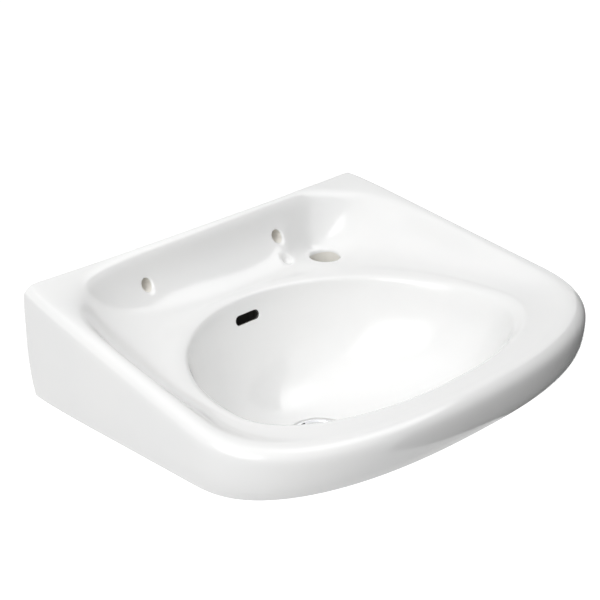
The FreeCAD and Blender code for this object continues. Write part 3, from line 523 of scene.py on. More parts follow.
def stadium_outline(width, height, count):
    """Middles and outward directions of points round a slot with round ends, or a circle."""
    straight = (width - height) / 2
    arc = math.pi * height / 2
    middles, outward = [], []
    for place in np.arange(count) / count * 2 * (arc + 2 * straight):
        half_round, rest = divmod(place, arc + 2 * straight)
        sign = 1 if half_round == 0 else -1
        turn = min(rest / arc, 1) * math.pi - math.pi / 2
        slide = max(rest - arc, 0)
        middles.append((sign * (straight - slide), 0))
        outward.append((sign * math.cos(turn), sign * math.sin(turn)))
    return np.array(middles), np.array(outward)


def curved_rows(start, corner, end):
    """Rows of a rounding from start to end that leaves both towards the corner."""
    shares = np.arange(1, EDGE_STEPS + 1) / EDGE_STEPS
    return [(1 - t) ** 2 * start + 2 * t * (1 - t) * corner + t ** 2 * end for t in shares]


def mouth(sheet, place, up, into, size, edge, count, spare=1):
    """Leads a sheet smoothly into a hole. Returns the loop at the top of its wall, and its points.

    The hole is a slot or a circle of that size, and the rounding at its wall is as wide as edge.
    """
    shell, surface = sheet.shell, sheet.surface
    guess = surface.nearest(place)
    middles, outward = stadium_outline(*size, count)
    radius = size[1] / 2
    outer_u, outer_v = surface.aim(place, up, middles + outward * (radius + edge), guess)
    sharp = surface.points(*surface.aim(place, up, middles + outward * radius, guess))
    loop, loop_u, loop_v, turns = sheet.block(outer_u, outer_v, spare, place, up)
    outer = surface.points(outer_u, outer_v)
    outer_turns = turns_about(outer, place, up)
    order = np.argsort(turns)
    far_u = np.interp(outer_turns, turns[order], loop_u[order], period=2 * math.pi)
    far_v = np.interp(outer_turns, turns[order], loop_v[order], period=2 * math.pi)
    rows = [surface.points(outer_u + share * (far_u - outer_u), outer_v + share * (far_v - outer_v))
            for share in MOUTH_SHARES]
    first = shell.add(rows[0])
    shell.stitch(loop, turns, first, turns_about(rows[0], place, up), sheet.finish)
    last = shell.bands(first, rows[1:], sheet.finish)
    end = sharp + into * edge
    return shell.bands(last, curved_rows(outer, sharp, end), sheet.finish), end


def moved_to(points, axis, level):
    """Points slid along an axis until they lie at a level on it."""
    return points + np.outer(level - points @ axis, axis)


def dimple(sheet, place):
    """A small smooth dish pressed into the sheet."""
    shell, surface = sheet.shell, sheet.surface
    guess = surface.nearest(place)
    outward = stadium_outline(1, 1, ROUND_POINTS)[1]
    outer_u, outer_v = surface.aim(place, TO_WALL, outward * DIMPLE_RADIUS, guess)
    loop, _, _, turns = sheet.block(outer_u, outer_v, 0, place, TO_WALL)
    rows = []
    for share in np.linspace(1, 0, DIMPLE_ROWS + 1)[:-1]:
        u, v = surface.aim(place, TO_WALL, outward * DIMPLE_RADIUS * share, guess)
        sunk_share = (1 - share ** DIMPLE_EDGE_POWER) ** DIMPLE_POWER
        rows.append(surface.points(u, v) - UP * DIMPLE_DEPTH * sunk_share)
    first = shell.add(rows[0])
    shell.stitch(loop, turns, first, turns_about(rows[0], place, TO_WALL), sheet.finish)
    last = shell.bands(first, rows[1:], sheet.finish)
    bottom = surface.points(*surface.aim(place, TO_WALL, MIDDLE, guess))
    pole = shell.add(bottom - UP * DIMPLE_DEPTH)[0]
    for here, after in zip(last, np.roll(last, -1)):
        shell.face((here, after, pole), sheet.finish)


def level_rows(centre, outward, corners):
    """Level rings about a centre, from pairs of radius and height."""
    return [np.column_stack((centre[:2] + radius * outward, np.full(len(outward), height)))
            for radius, height in corners]


def outlet(shell, glazed, under):
    """Joins bowl and underside through the rebate, the bore and the boss of the outlet."""
    axis = np.array((0.0, -OUTLET_FROM_WALL, 0.0))

    def lead_in(sheet, radius, edge):
        """Rings from the last row to a circle, then the rounding down to it."""
        surface = sheet.surface
        row = sheet.places[-1]
        turns = turns_about(row, axis, TO_WALL)
        way = np.stack((np.cos(turns), np.sin(turns)), axis=1)
        u, v = sheet.columns, np.full(len(turns), sheet.rows[-1])

        def circle(distance):
            return surface.aim(axis, TO_WALL, way * distance, (u, v))

        near_u, near_v = circle(radius + edge)
        sharp = surface.points(*circle(radius))
        rows = [surface.points(u + share * (near_u - u), v + share * (near_v - v)) for share in LEAD_SHARES]
        rows += curved_rows(rows[-1], sharp, sharp - UP * edge)
        return turns, way, shell.bands(sheet.numbers[-1], rows, sheet.finish)

    turns, way, rim = lead_in(glazed, REBATE_RADIUS, REBATE_EDGE)
    cone_drop = COUNTERSINK_RADIUS - OUTLET_BORE_RADIUS
    edge = REBATE_EDGE
    bore = shell.bands(rim, level_rows(axis, way, (
        (REBATE_RADIUS, SEAT + edge / 2),
        (REBATE_RADIUS - edge / 4, SEAT + edge / 8),
        (REBATE_RADIUS - edge / 2, SEAT),
        (COUNTERSINK_RADIUS, SEAT),
        (OUTLET_BORE_RADIUS, SEAT - cone_drop),
        (OUTLET_BORE_RADIUS, SEAT - cone_drop - BOSS_THICKNESS / 3),
        (OUTLET_BORE_RADIUS, BOSS_UNDER + edge),
        (OUTLET_BORE_RADIUS + edge / 4, BOSS_UNDER + edge / 4),
        (OUTLET_BORE_RADIUS + edge, BOSS_UNDER),
        (BOSS_RADIUS - edge, BOSS_UNDER),
        (BOSS_RADIUS - edge / 4, BOSS_UNDER + edge / 4),
        (BOSS_RADIUS, BOSS_UNDER + edge),
    )), SPRAYED)
    under_turns, _, neck = lead_in(under, BOSS_TOP_RADIUS, BOSS_FILLET)
    shell.stitch(neck, under_turns, bore, turns, SPRAYED)


def lower_edges(shell, glazed, under):
    """The apron's lower edge: a rounding, the flat foot and another rounding."""
    u = glazed.columns
    step = 0.01

    def way_up(surface):
        start = surface.points(u, 0)
        onward = surface.points(u, step) - start
        share = FOOT_EDGE / np.linalg.norm(onward, axis=1) * step
        return start, surface.points(u, share)

    outer, outer_start = way_up(glazed.surface)
    inner, inner_start = way_up(under.surface)
    across = inner - outer
    across /= np.linalg.norm(across, axis=1)[:, None]
    start = shell.add(outer_start)
    shell.band(glazed.numbers[0], start, GLAZED)
    loop = shell.bands(start, curved_rows(outer_start, outer, outer + across * FOOT_EDGE), GLAZED)
    loop = shell.bands(loop, [inner - across * FOOT_EDGE], BARE)
    loop = shell.bands(loop, curved_rows(inner - across * FOOT_EDGE, inner, inner_start), SPRAYED)
    shell.band(loop, under.numbers[0], SPRAYED)


def square_to(way, side=TO_WALL):
    """The direction square to a way and to the basin's width, on the side given."""
    out = np.cross(ACROSS, way)
    return out if out @ side > 0 else -out


def stadium_row(centre, up, width, height, count):
    """Points of a stadium round a centre, its length across the basin."""
    middles, outward = stadium_outline(width, height, count)
    section = middles + outward * height / 2
    return centre + np.outer(section[:, 0], ACROSS) + np.outer(section[:, 1], up)


def tube(name, rows, finish):
    """A closed solid through rows of points."""
    shell = Shell()
    first = shell.add(rows[0])
    last = shell.bands(first, rows[1:], finish)
    shell.face(first, finish)
    shell.face(last, finish)
    return object_of(shell, name)


def channel_course(top):
    """Points and directions along the overflow channel from its top point."""
    corner = np.array((0, -CHANNEL_CORNER_FROM_WALL, BOWL_FLOOR + CHANNEL_CORNER_RISE))
    end = np.array((0, -OUTLET_FROM_WALL + OUTLET_BORE_RADIUS - CHANNEL_HEAD, FLANGE_TOP - WINDOW_DROP))
    down = (corner - top) / np.linalg.norm(corner - top)
    onward = (end - corner) / np.linalg.norm(end - corner)
    turn = math.acos(down @ onward)
    reach = CHANNEL_BEND * math.tan(turn / 2)
    inside = square_to(down, onward)
    hub = corner - down * reach + inside * CHANNEL_BEND
    places, ways = [], []
    for step in range(BEND_STEPS + 1):
        angle = turn * step / BEND_STEPS
        ways.append(down * math.cos(angle) + inside * math.sin(angle))
        places.append(hub + CHANNEL_BEND * (down * math.sin(angle) - inside * math.cos(angle)))
    return down, onward, places, ways, end


def channel_mesh(name, top, head, thickness, width, set_back, stop_short, finish):
    """A closed tube of stadium section along the overflow channel."""
    down, onward, places, ways, end = channel_course(top)
    places = [top - down * head] + places + [end - onward * stop_short]
    ways = [down] + ways + [onward]
    rows = []
    for place, way in zip(places, ways):
        out = square_to(way)
        rows.append(stadium_row(place + out * set_back, out, width, thickness, ROUND_POINTS))
    return tube(name, rows, finish)


def slot_mesh(face, up, way):
    """The tool that opens the slot into the channel, a hair narrower than the slot's own wall."""
    row = stadium_row(face, up, SLOT_WIDTH - SLOT_STEP, SLOT_HEIGHT - SLOT_STEP, SLOT_POINTS)
    # The tool's faces carry the near-black painted shade into the cut slot.
    return tube("slot", [row - way * SLOT_EDGE, row + way * CHANNEL_SET], SHADED_INSIDE)


@contextmanager
def opened(mesh):
    """A mesh opened for changes, which are put back into it at the end."""
    work = bmesh.new()
    work.from_mesh(mesh)
    yield work
    work.to_mesh(mesh)
    work.free()


def new_object(name, data):
    made = bpy.data.objects.new(name, data)
    bpy.context.scene.collection.objects.link(made)
    return made


def give(mesh, *finishes):
    """Gives a mesh these finishes and no others."""
    mesh.materials.clear()
    for finish in finishes:
        mesh.materials.append(finish)


def object_of(shell, name):
    """A mesh object of a shell in the china's finishes, its faces turned outwards."""
    mesh = bpy.data.meshes.new(name)
    mesh.from_pydata(shell.points, [], shell.faces)
    give(mesh, *CHINA_FINISHES)
    mesh.polygons.foreach_set("material_index", shell.finishes)
    with opened(mesh) as work:
        bmesh.ops.recalc_face_normals(work, faces=work.faces)
    return new_object(name, mesh)


def settle(thing):
    """Makes what the modifiers show of an object its plain mesh."""
    result = bpy.data.meshes.new_from_object(thing.evaluated_get(bpy.context.evaluated_depsgraph_get()))
    thing.modifiers.clear()
    thing.data = result


def combined(whole, operation, tool):
    """Joins the tool to the whole or cuts it away, and removes the tool."""
    change = whole.modifiers.new(operation, "BOOLEAN")
    change.operation = operation
    change.solver = "EXACT"
    change.object = tool
    settle(whole)
    bpy.data.objects.remove(tool)


def cut_at_wall(whole):
    """Cuts the casting off at the wall and closes it with its flat bare back."""
    with opened(whole.data) as work:
        bmesh.ops.bisect_plane(work, geom=work.verts[:] + work.edges[:] + work.faces[:], dist=SAME_PLACE,
                               plane_co=(0, 0, 0), plane_no=TO_WALL, clear_outer=True)
        rim = [edge for edge in work.edges if edge.is_boundary]
        filled = bmesh.ops.triangle_fill(work, use_beauty=True, use_dissolve=False, edges=rim)
        for face in filled["geom"]:
            if isinstance(face, bmesh.types.BMFace):
                face.material_index = BARE
        bmesh.ops.recalc_face_normals(work, faces=work.faces)


def smoothed(thing, crease):
    """Smooth faces, with the edges that turn by more degrees left sharp."""
    limit = math.radians(crease)
    with opened(thing.data) as work:
        for face in work.faces:
            face.smooth = True
        for edge in work.edges:
            edge.smooth = len(edge.link_faces) == 2 and edge.calc_face_angle() < limit


def tap_hole(shell, glazed, under):
    """The tap's hole through the deck and the boss under it, its wall left bare."""
    hole = mounts["tap_hole"]
    radius = hole["dims"]["r_mm"] * MM
    place = np.array((*hole["pos_m"][:2], TAP_LANDING))
    foot = TAP_LANDING - TAP_BOSS_THICKNESS
    upper, _ = mouth(glazed, place, TO_WALL, -UP, (2 * radius,) * 2, TAP_EDGE, TAP_POINTS)
    lower, _ = mouth(under, place - UP * DECK_WALL, TO_WALL, -UP, (2 * TAP_BOSS_RADIUS,) * 2,
                     BOSS_FILLET, TAP_POINTS)
    outward = stadium_outline(1, 1, TAP_POINTS)[1]
    lower = shell.bands(lower, level_rows(place, outward, (
        (TAP_BOSS_RADIUS, foot + FOOT_EDGE),
        (TAP_BOSS_RADIUS - FOOT_EDGE / 4, foot + FOOT_EDGE / 4),
        (TAP_BOSS_RADIUS - FOOT_EDGE, foot),
        (radius + FOOT_EDGE / 2, foot),
        (radius, foot + FOOT_EDGE / 2),
    )), SPRAYED)
    shell.band(lower, upper, BARE)


def fixing_holes(shell, glazed):
    """The two holes for the bolts into the wall, bare behind their rounded mouths."""
    dims = mounts["wall_fixings"]["dims"]
    for side in (-1, 1):
        place = np.array((side * dims["spacing_x_mm"] * MM / 2, -BACKSPLASH_RUN / 2, 0))
        loop, end = mouth(glazed, place, UP, TO_WALL, (2 * dims["hole_r_mm"] * MM,) * 2, FIXING_EDGE,
                          ROUND_POINTS, spare=0)
        shell.bands(loop, [moved_to(end, TO_WALL, -BACK_WALL / 2), moved_to(end, TO_WALL, BACK_WALL)], BARE)


def slot(shell, glazed):
    """The overflow's slot in the bowl's back wall. Returns its middle and the way down the channel."""
    hint = np.array((0, -RIM_BACK, SLOT_LEVEL))
    surface = glazed.surface
    face = surface.points(*surface.aim(hint, UP, MIDDLE, surface.nearest(hint)))[0]
    down = channel_course(face + TO_WALL * CHANNEL_SET)[0]
    way = square_to(down)
    loop, end = mouth(glazed, face, -down, way, (SLOT_WIDTH, SLOT_HEIGHT), SLOT_EDGE, SLOT_POINTS)
    depth = face @ way + CHANNEL_SET
    # The slot's walls and end take the near-black painted shade.
    shell.face(shell.bands(loop, [moved_to(end, way, depth)], SHADED_INSIDE), SHADED_INSIDE)
    return face, down


def overflow(whole, face, down):
    """Adds the channel's wall to the casting, and cuts the channel and its slot out of it."""
    top = face + TO_WALL * CHANNEL_SET
    cover = (CHANNEL_SET - CHANNEL_DEPTH / 2) / 2
    combined(whole, "UNION", channel_mesh(
        "bulge", top, SLOT_DROP - DECK_WALL / 2, CHANNEL_DEPTH + CHANNEL_WALL + cover,
        CHANNEL_WIDTH + 2 * CHANNEL_WALL, (CHANNEL_WALL - cover) / 2, CHANNEL_DEPTH, SPRAYED))
    # The channel's cut faces take the near-black painted shade.
    combined(whole, "DIFFERENCE", channel_mesh(
        "channel", top, SLOT_HEIGHT / 2 + CHANNEL_HEAD, CHANNEL_DEPTH, CHANNEL_WIDTH, 0, 0, SHADED_INSIDE))
    combined(whole, "DIFFERENCE", slot_mesh(face, -down, square_to(down)))


def casting():
    """The whole china casting as one closed mesh."""
    shell = Shell()
    glazed = Sheet(shell, glazed_rings(), DOWN_STEPS, GLAZED_END_RADIUS, GLAZED)
    under = Sheet(shell, underside_rings(), UNDER_DOWN_STEPS, UNDER_END_RADIUS, SPRAYED)
    lower_edges(shell, glazed, under)
    outlet(shell, glazed, under)
    tap_hole(shell, glazed, under)
    fixing_holes(shell, glazed)
    dimple(glazed, np.array((DIMPLE_FROM_CENTRE, -DIMPLE_FROM_WALL, DECK + LIP_WIDTH / 2)))
    slot_face, down = slot(shell, glazed)
    glazed.finish_faces()
    under.finish_faces()
    whole = object_of(shell, "china_basin")
    cut_at_wall(whole)
    overflow(whole, slot_face, down)
    smoothed(whole, CHINA_CREASE)
    return whole


# Materials

COLOR, FLOAT = "NodeSocketColor", "NodeSocketFloat"
CLOUDING_INPUTS = ("Color", "Second Color", "Cloud Scale", "Grain Scale", "Smoothest", "Roughest", "Grain")

# Spans of a noise's values that are spread over a whole range
CLOUD_SPAN = 0.35, 0.65
ROUGH_SPAN = 0.3, 0.7
# Share of the fine grain in the roughness
GRAIN_SHARE = 0.3
CLOUD_DETAIL = 4.0
GRAIN_DETAIL = 2.0


def feed(tree, node, given):
    """Gives inputs of a node their values, or links from other nodes. Returns the node."""
    for label, value in given.items():
        if isinstance(value, bpy.types.NodeSocket):
            tree.links.new(value, node.inputs[label])
        else:
            node.inputs[label].default_value = value
    return node


def new_node(tree, kind, given):
    return feed(tree, tree.nodes.new(kind), given)


def maths(tree, operation, *given):
    node = new_node(tree, "ShaderNodeMath", dict(enumerate(given)))
    node.operation = operation
    return node.outputs[0]


def times(tree, first, second):
    return maths(tree, "MULTIPLY", first, second)


def noise(tree, place, scale, detail):
    return new_node(tree, "ShaderNodeTexNoise", {
        "Vector": place, "Scale": scale, "Detail": detail,
    }).outputs["Fac"]


def ranged(tree, value, span, low, high):
    """A value carried from a span to another range, clamped."""
    return new_node(tree, "ShaderNodeMapRange", {
        "Value": value, "From Min": span[0], "From Max": span[1], "To Min": low, "To Max": high,
    }).outputs["Result"]


def blended(tree, share, first, second):
    """A colour between two others."""
    node = tree.nodes.new("ShaderNodeMix")
    node.data_type = "RGBA"
    return feed(tree, node, {"Factor": share, "A": first, "B": second}).outputs["Result"]


def tone(red, green, blue):
    return (red, green, blue, 1)


def new_group(name, inputs, outputs):
    """A shader node group in the making. Returns it, what it is given and its output node."""
    group = bpy.data.node_groups.new(name, "ShaderNodeTree")
    for side, labels in (("INPUT", inputs), ("OUTPUT", outputs)):
        for label in labels:
            kind = COLOR if label.endswith("Color") else FLOAT
            group.interface.new_socket(label, in_out=side, socket_type=kind)
    return group, group.nodes.new("NodeGroupInput").outputs, group.nodes.new("NodeGroupOutput")


def grouped(tree, group, given):
    """What a group puts out for what it is given."""
    node = tree.nodes.new("ShaderNodeGroup")
    node.node_tree = group
    return feed(tree, node, given).outputs


def clouding_group():
    """Slow change of colour and roughness over a surface, with a fine grain on top."""
    group, given, result = new_group("clouding", CLOUDING_INPUTS, ("Color", "Roughness", "Height"))
    place = group.nodes.new("ShaderNodeTexCoord").outputs["Object"]
    cloud = noise(group, place, given["Cloud Scale"], CLOUD_DETAIL)
    grain = noise(group, place, given["Grain Scale"], GRAIN_DETAIL)
    mixed = maths(group, "ADD", times(group, cloud, 1 - GRAIN_SHARE), times(group, grain, GRAIN_SHARE))
    feed(group, result, {
        "Color": blended(group, ranged(group, cloud, CLOUD_SPAN, 0.0, 1.0),
                         given["Color"], given["Second Color"]),
        "Roughness": ranged(group, mixed, ROUGH_SPAN, given["Smoothest"], given["Roughest"]),
        "Height": maths(group, "ADD", cloud, times(group, grain, given["Grain"])),
    })
    return group


def turning_group():
    """Fine rings left by a lathe about the outlet axis."""
    group, given, result = new_group("turning_marks", ("Ring Width", "Depth"), ("Height",))
    place = group.nodes.new("ShaderNodeTexCoord").outputs["Object"]
    apart = new_node(group, "ShaderNodeSeparateXYZ", {0: place}).outputs
    y = maths(group, "ADD", apart["Y"], OUTLET_FROM_WALL)
    squares = maths(group, "ADD", times(group, apart["X"], apart["X"]), times(group, y, y))
    both = maths(group, "ADD", maths(group, "SQRT", squares), apart["Z"])
    turns = maths(group, "DIVIDE", both, given["Ring Width"])
    wave = maths(group, "SINE", times(group, turns, 2 * math.pi))
    feed(group, result, {"Height": times(group, wave, given["Depth"])})
    return group


clouding = clouding_group()
turning_marks = turning_group()


def material(name, tones, scales, roughness, grain, bump, rings=None, **shader):
    """A principled material whose colour, roughness and bump come from the clouding group.

    The scales are those of clouds and grain, and rings are the width and depth of turning marks.
    """
    made = bpy.data.materials.new(name)
    made.use_nodes = True
    tree = made.node_tree
    values = (tone(*tones[0]), tone(*tones[1]), *scales, *roughness, grain)
    cloud = grouped(tree, clouding, dict(zip(CLOUDING_INPUTS, values)))
    height = cloud["Height"]
    if rings:
        turned = grouped(tree, turning_marks, {"Ring Width": rings[0], "Depth": rings[1]})
        height = maths(tree, "ADD", height, turned["Height"])
    relief = new_node(tree, "ShaderNodeBump", {"Distance": bump, "Height": height})
    surface = feed(tree, tree.nodes["Principled BSDF"], {
        "Base Color": cloud["Color"], "Roughness": cloud["Roughness"], "Normal": relief.outputs["Normal"],
    })
    for label, value in shader.items():
        surface.inputs[label.replace("_", " ")].default_value = value
    return made


def china_glaze():
    """Thick clear white glaze, with the slow ripple that it sets with."""
    return material("china_glaze", ((0.925, 0.925, 0.918), (0.905, 0.908, 0.905)), (9.0, 420.0),
                    roughness=(0.08, 0.14), grain=0.01, bump=0.0006,
                    IOR=1.52, Coat_Weight=0.2, Coat_Roughness=0.08)


def china_sprayed():
    """Thin dull glaze on the faces that don't show once the basin hangs."""
    return material("china_sprayed", ((0.88, 0.875, 0.85), (0.83, 0.82, 0.79)), (16.0, 650.0),
                    roughness=(0.22, 0.42), grain=0.25, bump=0.0004, IOR=1.5)


def china_bare():
    """Fired clay with no glaze, ground flat."""
    return material("china_bare", ((0.83, 0.81, 0.76), (0.79, 0.77, 0.72)), (30.0, 1400.0),
                    roughness=(0.7, 0.9), grain=0.6, bump=0.00025, IOR=1.45)


def china_painted_shade():
    """Painted shade: near-black colour on the inside of the overflow channel and its slot, standing in for
    the shadow in them.
    """
    return material("china_painted_shade", ((0.022, 0.021, 0.02), (0.04, 0.038, 0.034)), (40.0, 1200.0),
                    roughness=(0.55, 0.8), grain=0.5, bump=0.0003, IOR=1.4)


def polished_chrome():
    return material("polished_chrome", ((0.79, 0.80, 0.81), (0.74, 0.75, 0.77)), (60.0, 1800.0),
                    roughness=(0.04, 0.13), grain=0.05, bump=0.00002, rings=(0.0006, 0.15), Metallic=1.0)


def machined_brass():
    return material("machined_brass", ((0.76, 0.59, 0.30), (0.60, 0.44, 0.21)), (90.0, 2200.0),
                    roughness=(0.2, 0.42), grain=0.3, bump=0.00004, rings=(0.0005, 0.8), Metallic=1.0)


def drawn_steel():
    return material("drawn_steel", ((0.60, 0.60, 0.61), (0.48, 0.48, 0.50)), (300.0, 3000.0),
                    roughness=(0.22, 0.4), grain=0.3, bump=0.00002, Metallic=1.0)


def black_rubber():
    return material("black_rubber", ((0.035, 0.035, 0.036), (0.06, 0.06, 0.058)), (70.0, 2400.0),
                    roughness=(0.5, 0.75), grain=0.6, bump=0.00006, IOR=1.45)


def natural_plastic():
    return material("natural_plastic", ((0.84, 0.84, 0.80), (0.78, 0.78, 0.73)), (60.0, 1600.0),
                    roughness=(0.32, 0.5), grain=0.4, bump=0.00004, rings=(0.0008, 0.3), IOR=1.49)


# Thread of the waste's tail

THREAD_PITCH = 0.002309
THREAD_GROOVE = 0.00075
THREAD_DEPTH = 0.0006
THREAD_TOP = -0.194
THREAD_OVERRUN = 0.002
TURN_POINTS = 60
GROOVE_POINTS = 10


def thread_tree(finish):
    """Geometry nodes for a round groove that climbs round an axis, as a solid tool."""
    tree = bpy.data.node_groups.new("thread_groove", "GeometryNodeTree")
    tree.interface.new_socket("Geometry", in_out="OUTPUT", socket_type="NodeSocketGeometry")
    for label in ("Radius", "Pitch", "Turns", "Groove"):
        tree.interface.new_socket(label, in_out="INPUT", socket_type=FLOAT)
    given = tree.nodes.new("NodeGroupInput").outputs
    path = new_node(tree, "GeometryNodeCurveSpiral", {
        "Resolution": TURN_POINTS, "Rotations": given["Turns"], "Reverse": True,
        "Start Radius": given["Radius"], "End Radius": given["Radius"],
        "Height": times(tree, given["Turns"], given["Pitch"]),
    })
    section = new_node(tree, "GeometryNodeCurvePrimitiveCircle", {
        "Resolution": GROOVE_POINTS, "Radius": given["Groove"],
    })
    swept = new_node(tree, "GeometryNodeCurveToMesh", {
        "Curve": path.outputs["Curve"], "Profile Curve": section.outputs["Curve"], "Fill Caps": True,
    })
    real = new_node(tree, "GeometryNodeRealizeInstances", {"Geometry": swept.outputs["Mesh"]})
    painted = new_node(tree, "GeometryNodeSetMaterial", {
        "Geometry": real.outputs["Geometry"], "Material": finish,
    })
    new_node(tree, "NodeGroupOutput", {"Geometry": painted.outputs["Geometry"]})
    return tree


def thread_tool(radius, bottom, finish):
    """A solid that cuts the thread from below the tail's end to behind the backnut."""
    tool = new_object("thread_tool", bpy.data.meshes.new("thread_tool"))
    maker = tool.modifiers.new("thread", "NODES")
    maker.node_group = thread_tree(finish)
    start = bottom - THREAD_OVERRUN
    values = {
        "Radius": radius + THREAD_GROOVE - THREAD_DEPTH,
        "Pitch": THREAD_PITCH,
        "Turns": (THREAD_TOP - start) / THREAD_PITCH,
        "Groove": THREAD_GROOVE,
    }
    for item in maker.node_group.interface.items_tree:
        if item.in_out == "INPUT":
            maker[item.identifier] = values[item.name]
    settle(tool)
    tool.data.transform(Matrix.Translation((0, -OUTLET_FROM_WALL, start)))
    return tool


def closed_mesh(thing):
    """Joins the points that lie in one place and turns the faces outwards."""
    with opened(thing.data) as work:
        bmesh.ops.remove_doubles(work, verts=work.verts, dist=SAME_PLACE)
        bmesh.ops.recalc_face_normals(work, faces=work.faces)


def threaded_waste(body, finish):
    """The CAD body of the waste with a thread cut into its tail."""
    mesh = body.data.copy()
    mesh.transform(body.matrix_world)
    give(mesh, finish)
    whole = new_object("threaded_waste", mesh)
    closed_mesh(whole)
    tail = [point.co for point in mesh.vertices if point.co.z < THREAD_TOP]
    radius = max(math.hypot(place.x, place.y + OUTLET_FROM_WALL) for place in tail)
    tool = thread_tool(radius, mounts["trap_seat"]["pos_m"][2], finish)
    closed_mesh(tool)
    combined(whole, "DIFFERENCE", tool)
    smoothed(whole, WASTE_CREASE)
    return whole


# Pieces

CHINA_FINISHES = china_glaze(), china_sprayed(), china_bare(), china_painted_shade()
china = casting()
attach(china, "basin_and_waste")
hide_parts("basin")

chrome = polished_chrome()
waste = threaded_waste(frame["nodes"]["waste_body"], chrome)
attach(waste, "basin_and_waste")
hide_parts("waste_body")

FINISHED_ALIKE = (
    (chrome, ("waste_body", "plug_cap")),
    (machined_brass(), ("backnut", "cartridge_foot", "cartridge_housing", "spindle")),
    (black_rubber(), ("flange_seal", "lower_seal", "plug_seal")),
    (natural_plastic(), ("slip_washer",)),
    (drawn_steel(), ("spring",)),
)
for finish, names in FINISHED_ALIKE:
    for name in names:
        give(frame["nodes"][name].data, finish)


# Stage, light and camera

RIM_ABOVE_FLOOR = 0.85
FLOOR_LEVEL = DECK - RIM_ABOVE_FLOOR
FLOOR_WIDTH = 12.0
FLOOR_TONE = 0.85
FLOOR_GLOW = 0.72
FLOOR_PAINT_SHARE = 0.9
CARD_WIDTH = 2.1
CARD_HEIGHT = 1.6
CARD_PLACE = (0.72, -0.87, FLOOR_LEVEL + CARD_HEIGHT / 2)
CARD_FACING = (-1, 0.28, 0)
CARD_TONE = 0.02
DULL = 0.9

WORLD_STRENGTH = 0.4
# Name, place, size and power of the lamps
LAMPS = (
    ("key", (-1.75, -0.8, 1.4), (2.2, 2.2), 28.0),
    ("top", (-0.2, -0.2, 2.2), (3.4, 3.0), 9.0),
    ("right", (1.1, -0.5, 1.9), (2.0, 2.0), 11.0),
)
LAMPS_AIM = Vector((0, -DEPTH / 2, 0))
# Brings the mean of a lamp's fading, u (1 - u) v (1 - v), back to 1
FADE_GAIN = 36.0

# The photograph's viewpoint, worked out from the basin's outline: degrees, metres and a lens in
# millimetres
CAMERA_AZIMUTH = -45.53
CAMERA_ELEVATION = 24.0
CAMERA_DISTANCE = 1.8076
CAMERA_AIM = Vector((-0.0491, -0.2034, 0.0235))
CAMERA_LENS = 104.54
SENSOR_WIDTH = 36.0


def stage_plane(name, size, place, facing, shade):
    """A flat stage piece in a dull paint. Returns it, its paint's nodes and the paint's shader."""
    bpy.ops.mesh.primitive_plane_add(size=1, location=place)
    piece = bpy.context.object
    piece.name = name
    piece.scale = (*size, 1)
    piece.rotation_euler = Vector(facing).to_track_quat("Z", "Y").to_euler()
    paint = bpy.data.materials.new(name + "_paint")
    paint.use_nodes = True
    tree = paint.node_tree
    surface = feed(tree, tree.nodes["Principled BSDF"], {
        "Base Color": tone(shade, shade, shade), "Roughness": DULL,
    })
    give(piece.data, paint)
    return piece, tree, surface.outputs[0]


def show_white(tree, plain, white, output):
    """Shows white to the camera and in reflections, and the plain shader to all other light."""
    path = tree.nodes.new("ShaderNodeLightPath").outputs
    seen = 0.0
    for kind in ("Camera", "Glossy", "Transmission"):
        seen = maths(tree, "MAXIMUM", seen, path["Is " + kind + " Ray"])
    choice = new_node(tree, "ShaderNodeMixShader", {0: seen, 1: plain, 2: white})
    feed(tree, output, {"Surface": choice.outputs[0]})


def stage_floor():
    """A pale floor as far below the basin as a bathroom floor is. It looks white but for shadows."""
    _, tree, paint = stage_plane("stage_floor", (FLOOR_WIDTH,) * 2, (0, 0, FLOOR_LEVEL), UP, FLOOR_TONE)
    glow = new_node(tree, "ShaderNodeEmission", {"Strength": FLOOR_GLOW})
    faint = new_node(tree, "ShaderNodeMixShader", {0: FLOOR_PAINT_SHARE, 2: paint})
    both = new_node(tree, "ShaderNodeAddShader", {0: glow.outputs[0], 1: faint.outputs[0]})
    show_white(tree, paint, both.outputs[0], tree.nodes["Material Output"])


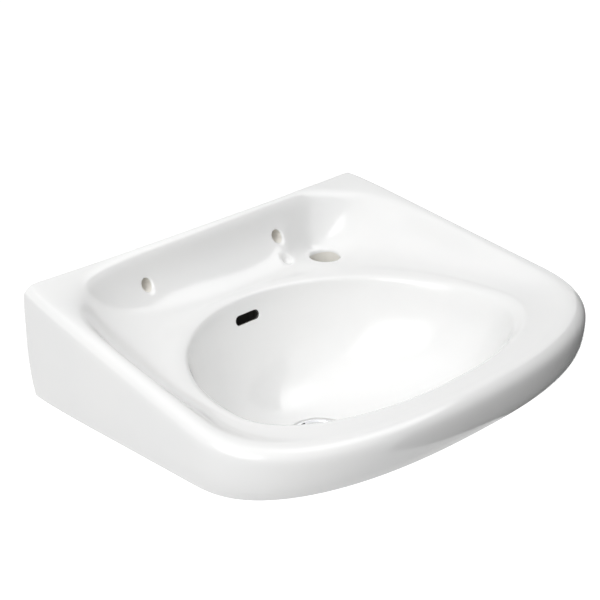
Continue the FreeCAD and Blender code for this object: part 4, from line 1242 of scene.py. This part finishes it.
def dark_card():
    """A black card at the front right, hidden from the camera, that darkens the apron's right end."""
    card, _, _ = stage_plane("stage_card", (CARD_HEIGHT, CARD_WIDTH), CARD_PLACE, CARD_FACING, CARD_TONE)
    card.visible_camera = False


def world_light():
    world = bpy.data.worlds.new("studio")
    bpy.context.scene.world = world
    world.use_nodes = True
    tree = world.node_tree
    dim = feed(tree, tree.nodes["Background"], {"Color": tone(1, 1, 1), "Strength": WORLD_STRENGTH})
    white = new_node(tree, "ShaderNodeBackground", {"Color": tone(1, 1, 1)})
    show_white(tree, dim.outputs[0], white.outputs[0], tree.nodes["World Output"])


def lamp(name, place, size, power):
    """A soft rectangular lamp that points at the basin and fades to nothing at its edges."""
    data = bpy.data.lights.new(name, "AREA")
    data.shape = "RECTANGLE"
    data.size, data.size_y = size
    data.energy = power
    data.use_nodes = True
    tree = data.node_tree
    across = tree.nodes.new("ShaderNodeNewGeometry").outputs["Parametric"]
    apart = new_node(tree, "ShaderNodeSeparateXYZ", {0: across}).outputs
    fade = FADE_GAIN
    for share in (apart["X"], apart["Y"]):
        fade = times(tree, share, fade)
        fade = times(tree, maths(tree, "SUBTRACT", 1.0, share), fade)
    feed(tree, tree.nodes["Emission"], {"Strength": fade})
    made = new_object(name, data)
    made.location = place
    made.rotation_euler = (LAMPS_AIM - Vector(place)).to_track_quat("-Z", "Y").to_euler()


def camera():
    azimuth, elevation = math.radians(CAMERA_AZIMUTH), math.radians(CAMERA_ELEVATION)
    back = Vector((math.sin(azimuth) * math.cos(elevation),
                   -math.cos(azimuth) * math.cos(elevation), math.sin(elevation)))
    data = bpy.data.cameras.new("camera")
    data.sensor_width = SENSOR_WIDTH
    data.lens = CAMERA_LENS
    made = new_object("camera", data)
    made.location = CAMERA_AIM + back * CAMERA_DISTANCE
    made.rotation_euler = (-back).to_track_quat("-Z", "Y").to_euler()
    bpy.context.scene.camera = made


stage_floor()
dark_card()
world_light()
for given in LAMPS:
    lamp(*given)
camera()
bpy.context.scene.view_settings.view_transform = "Standard"
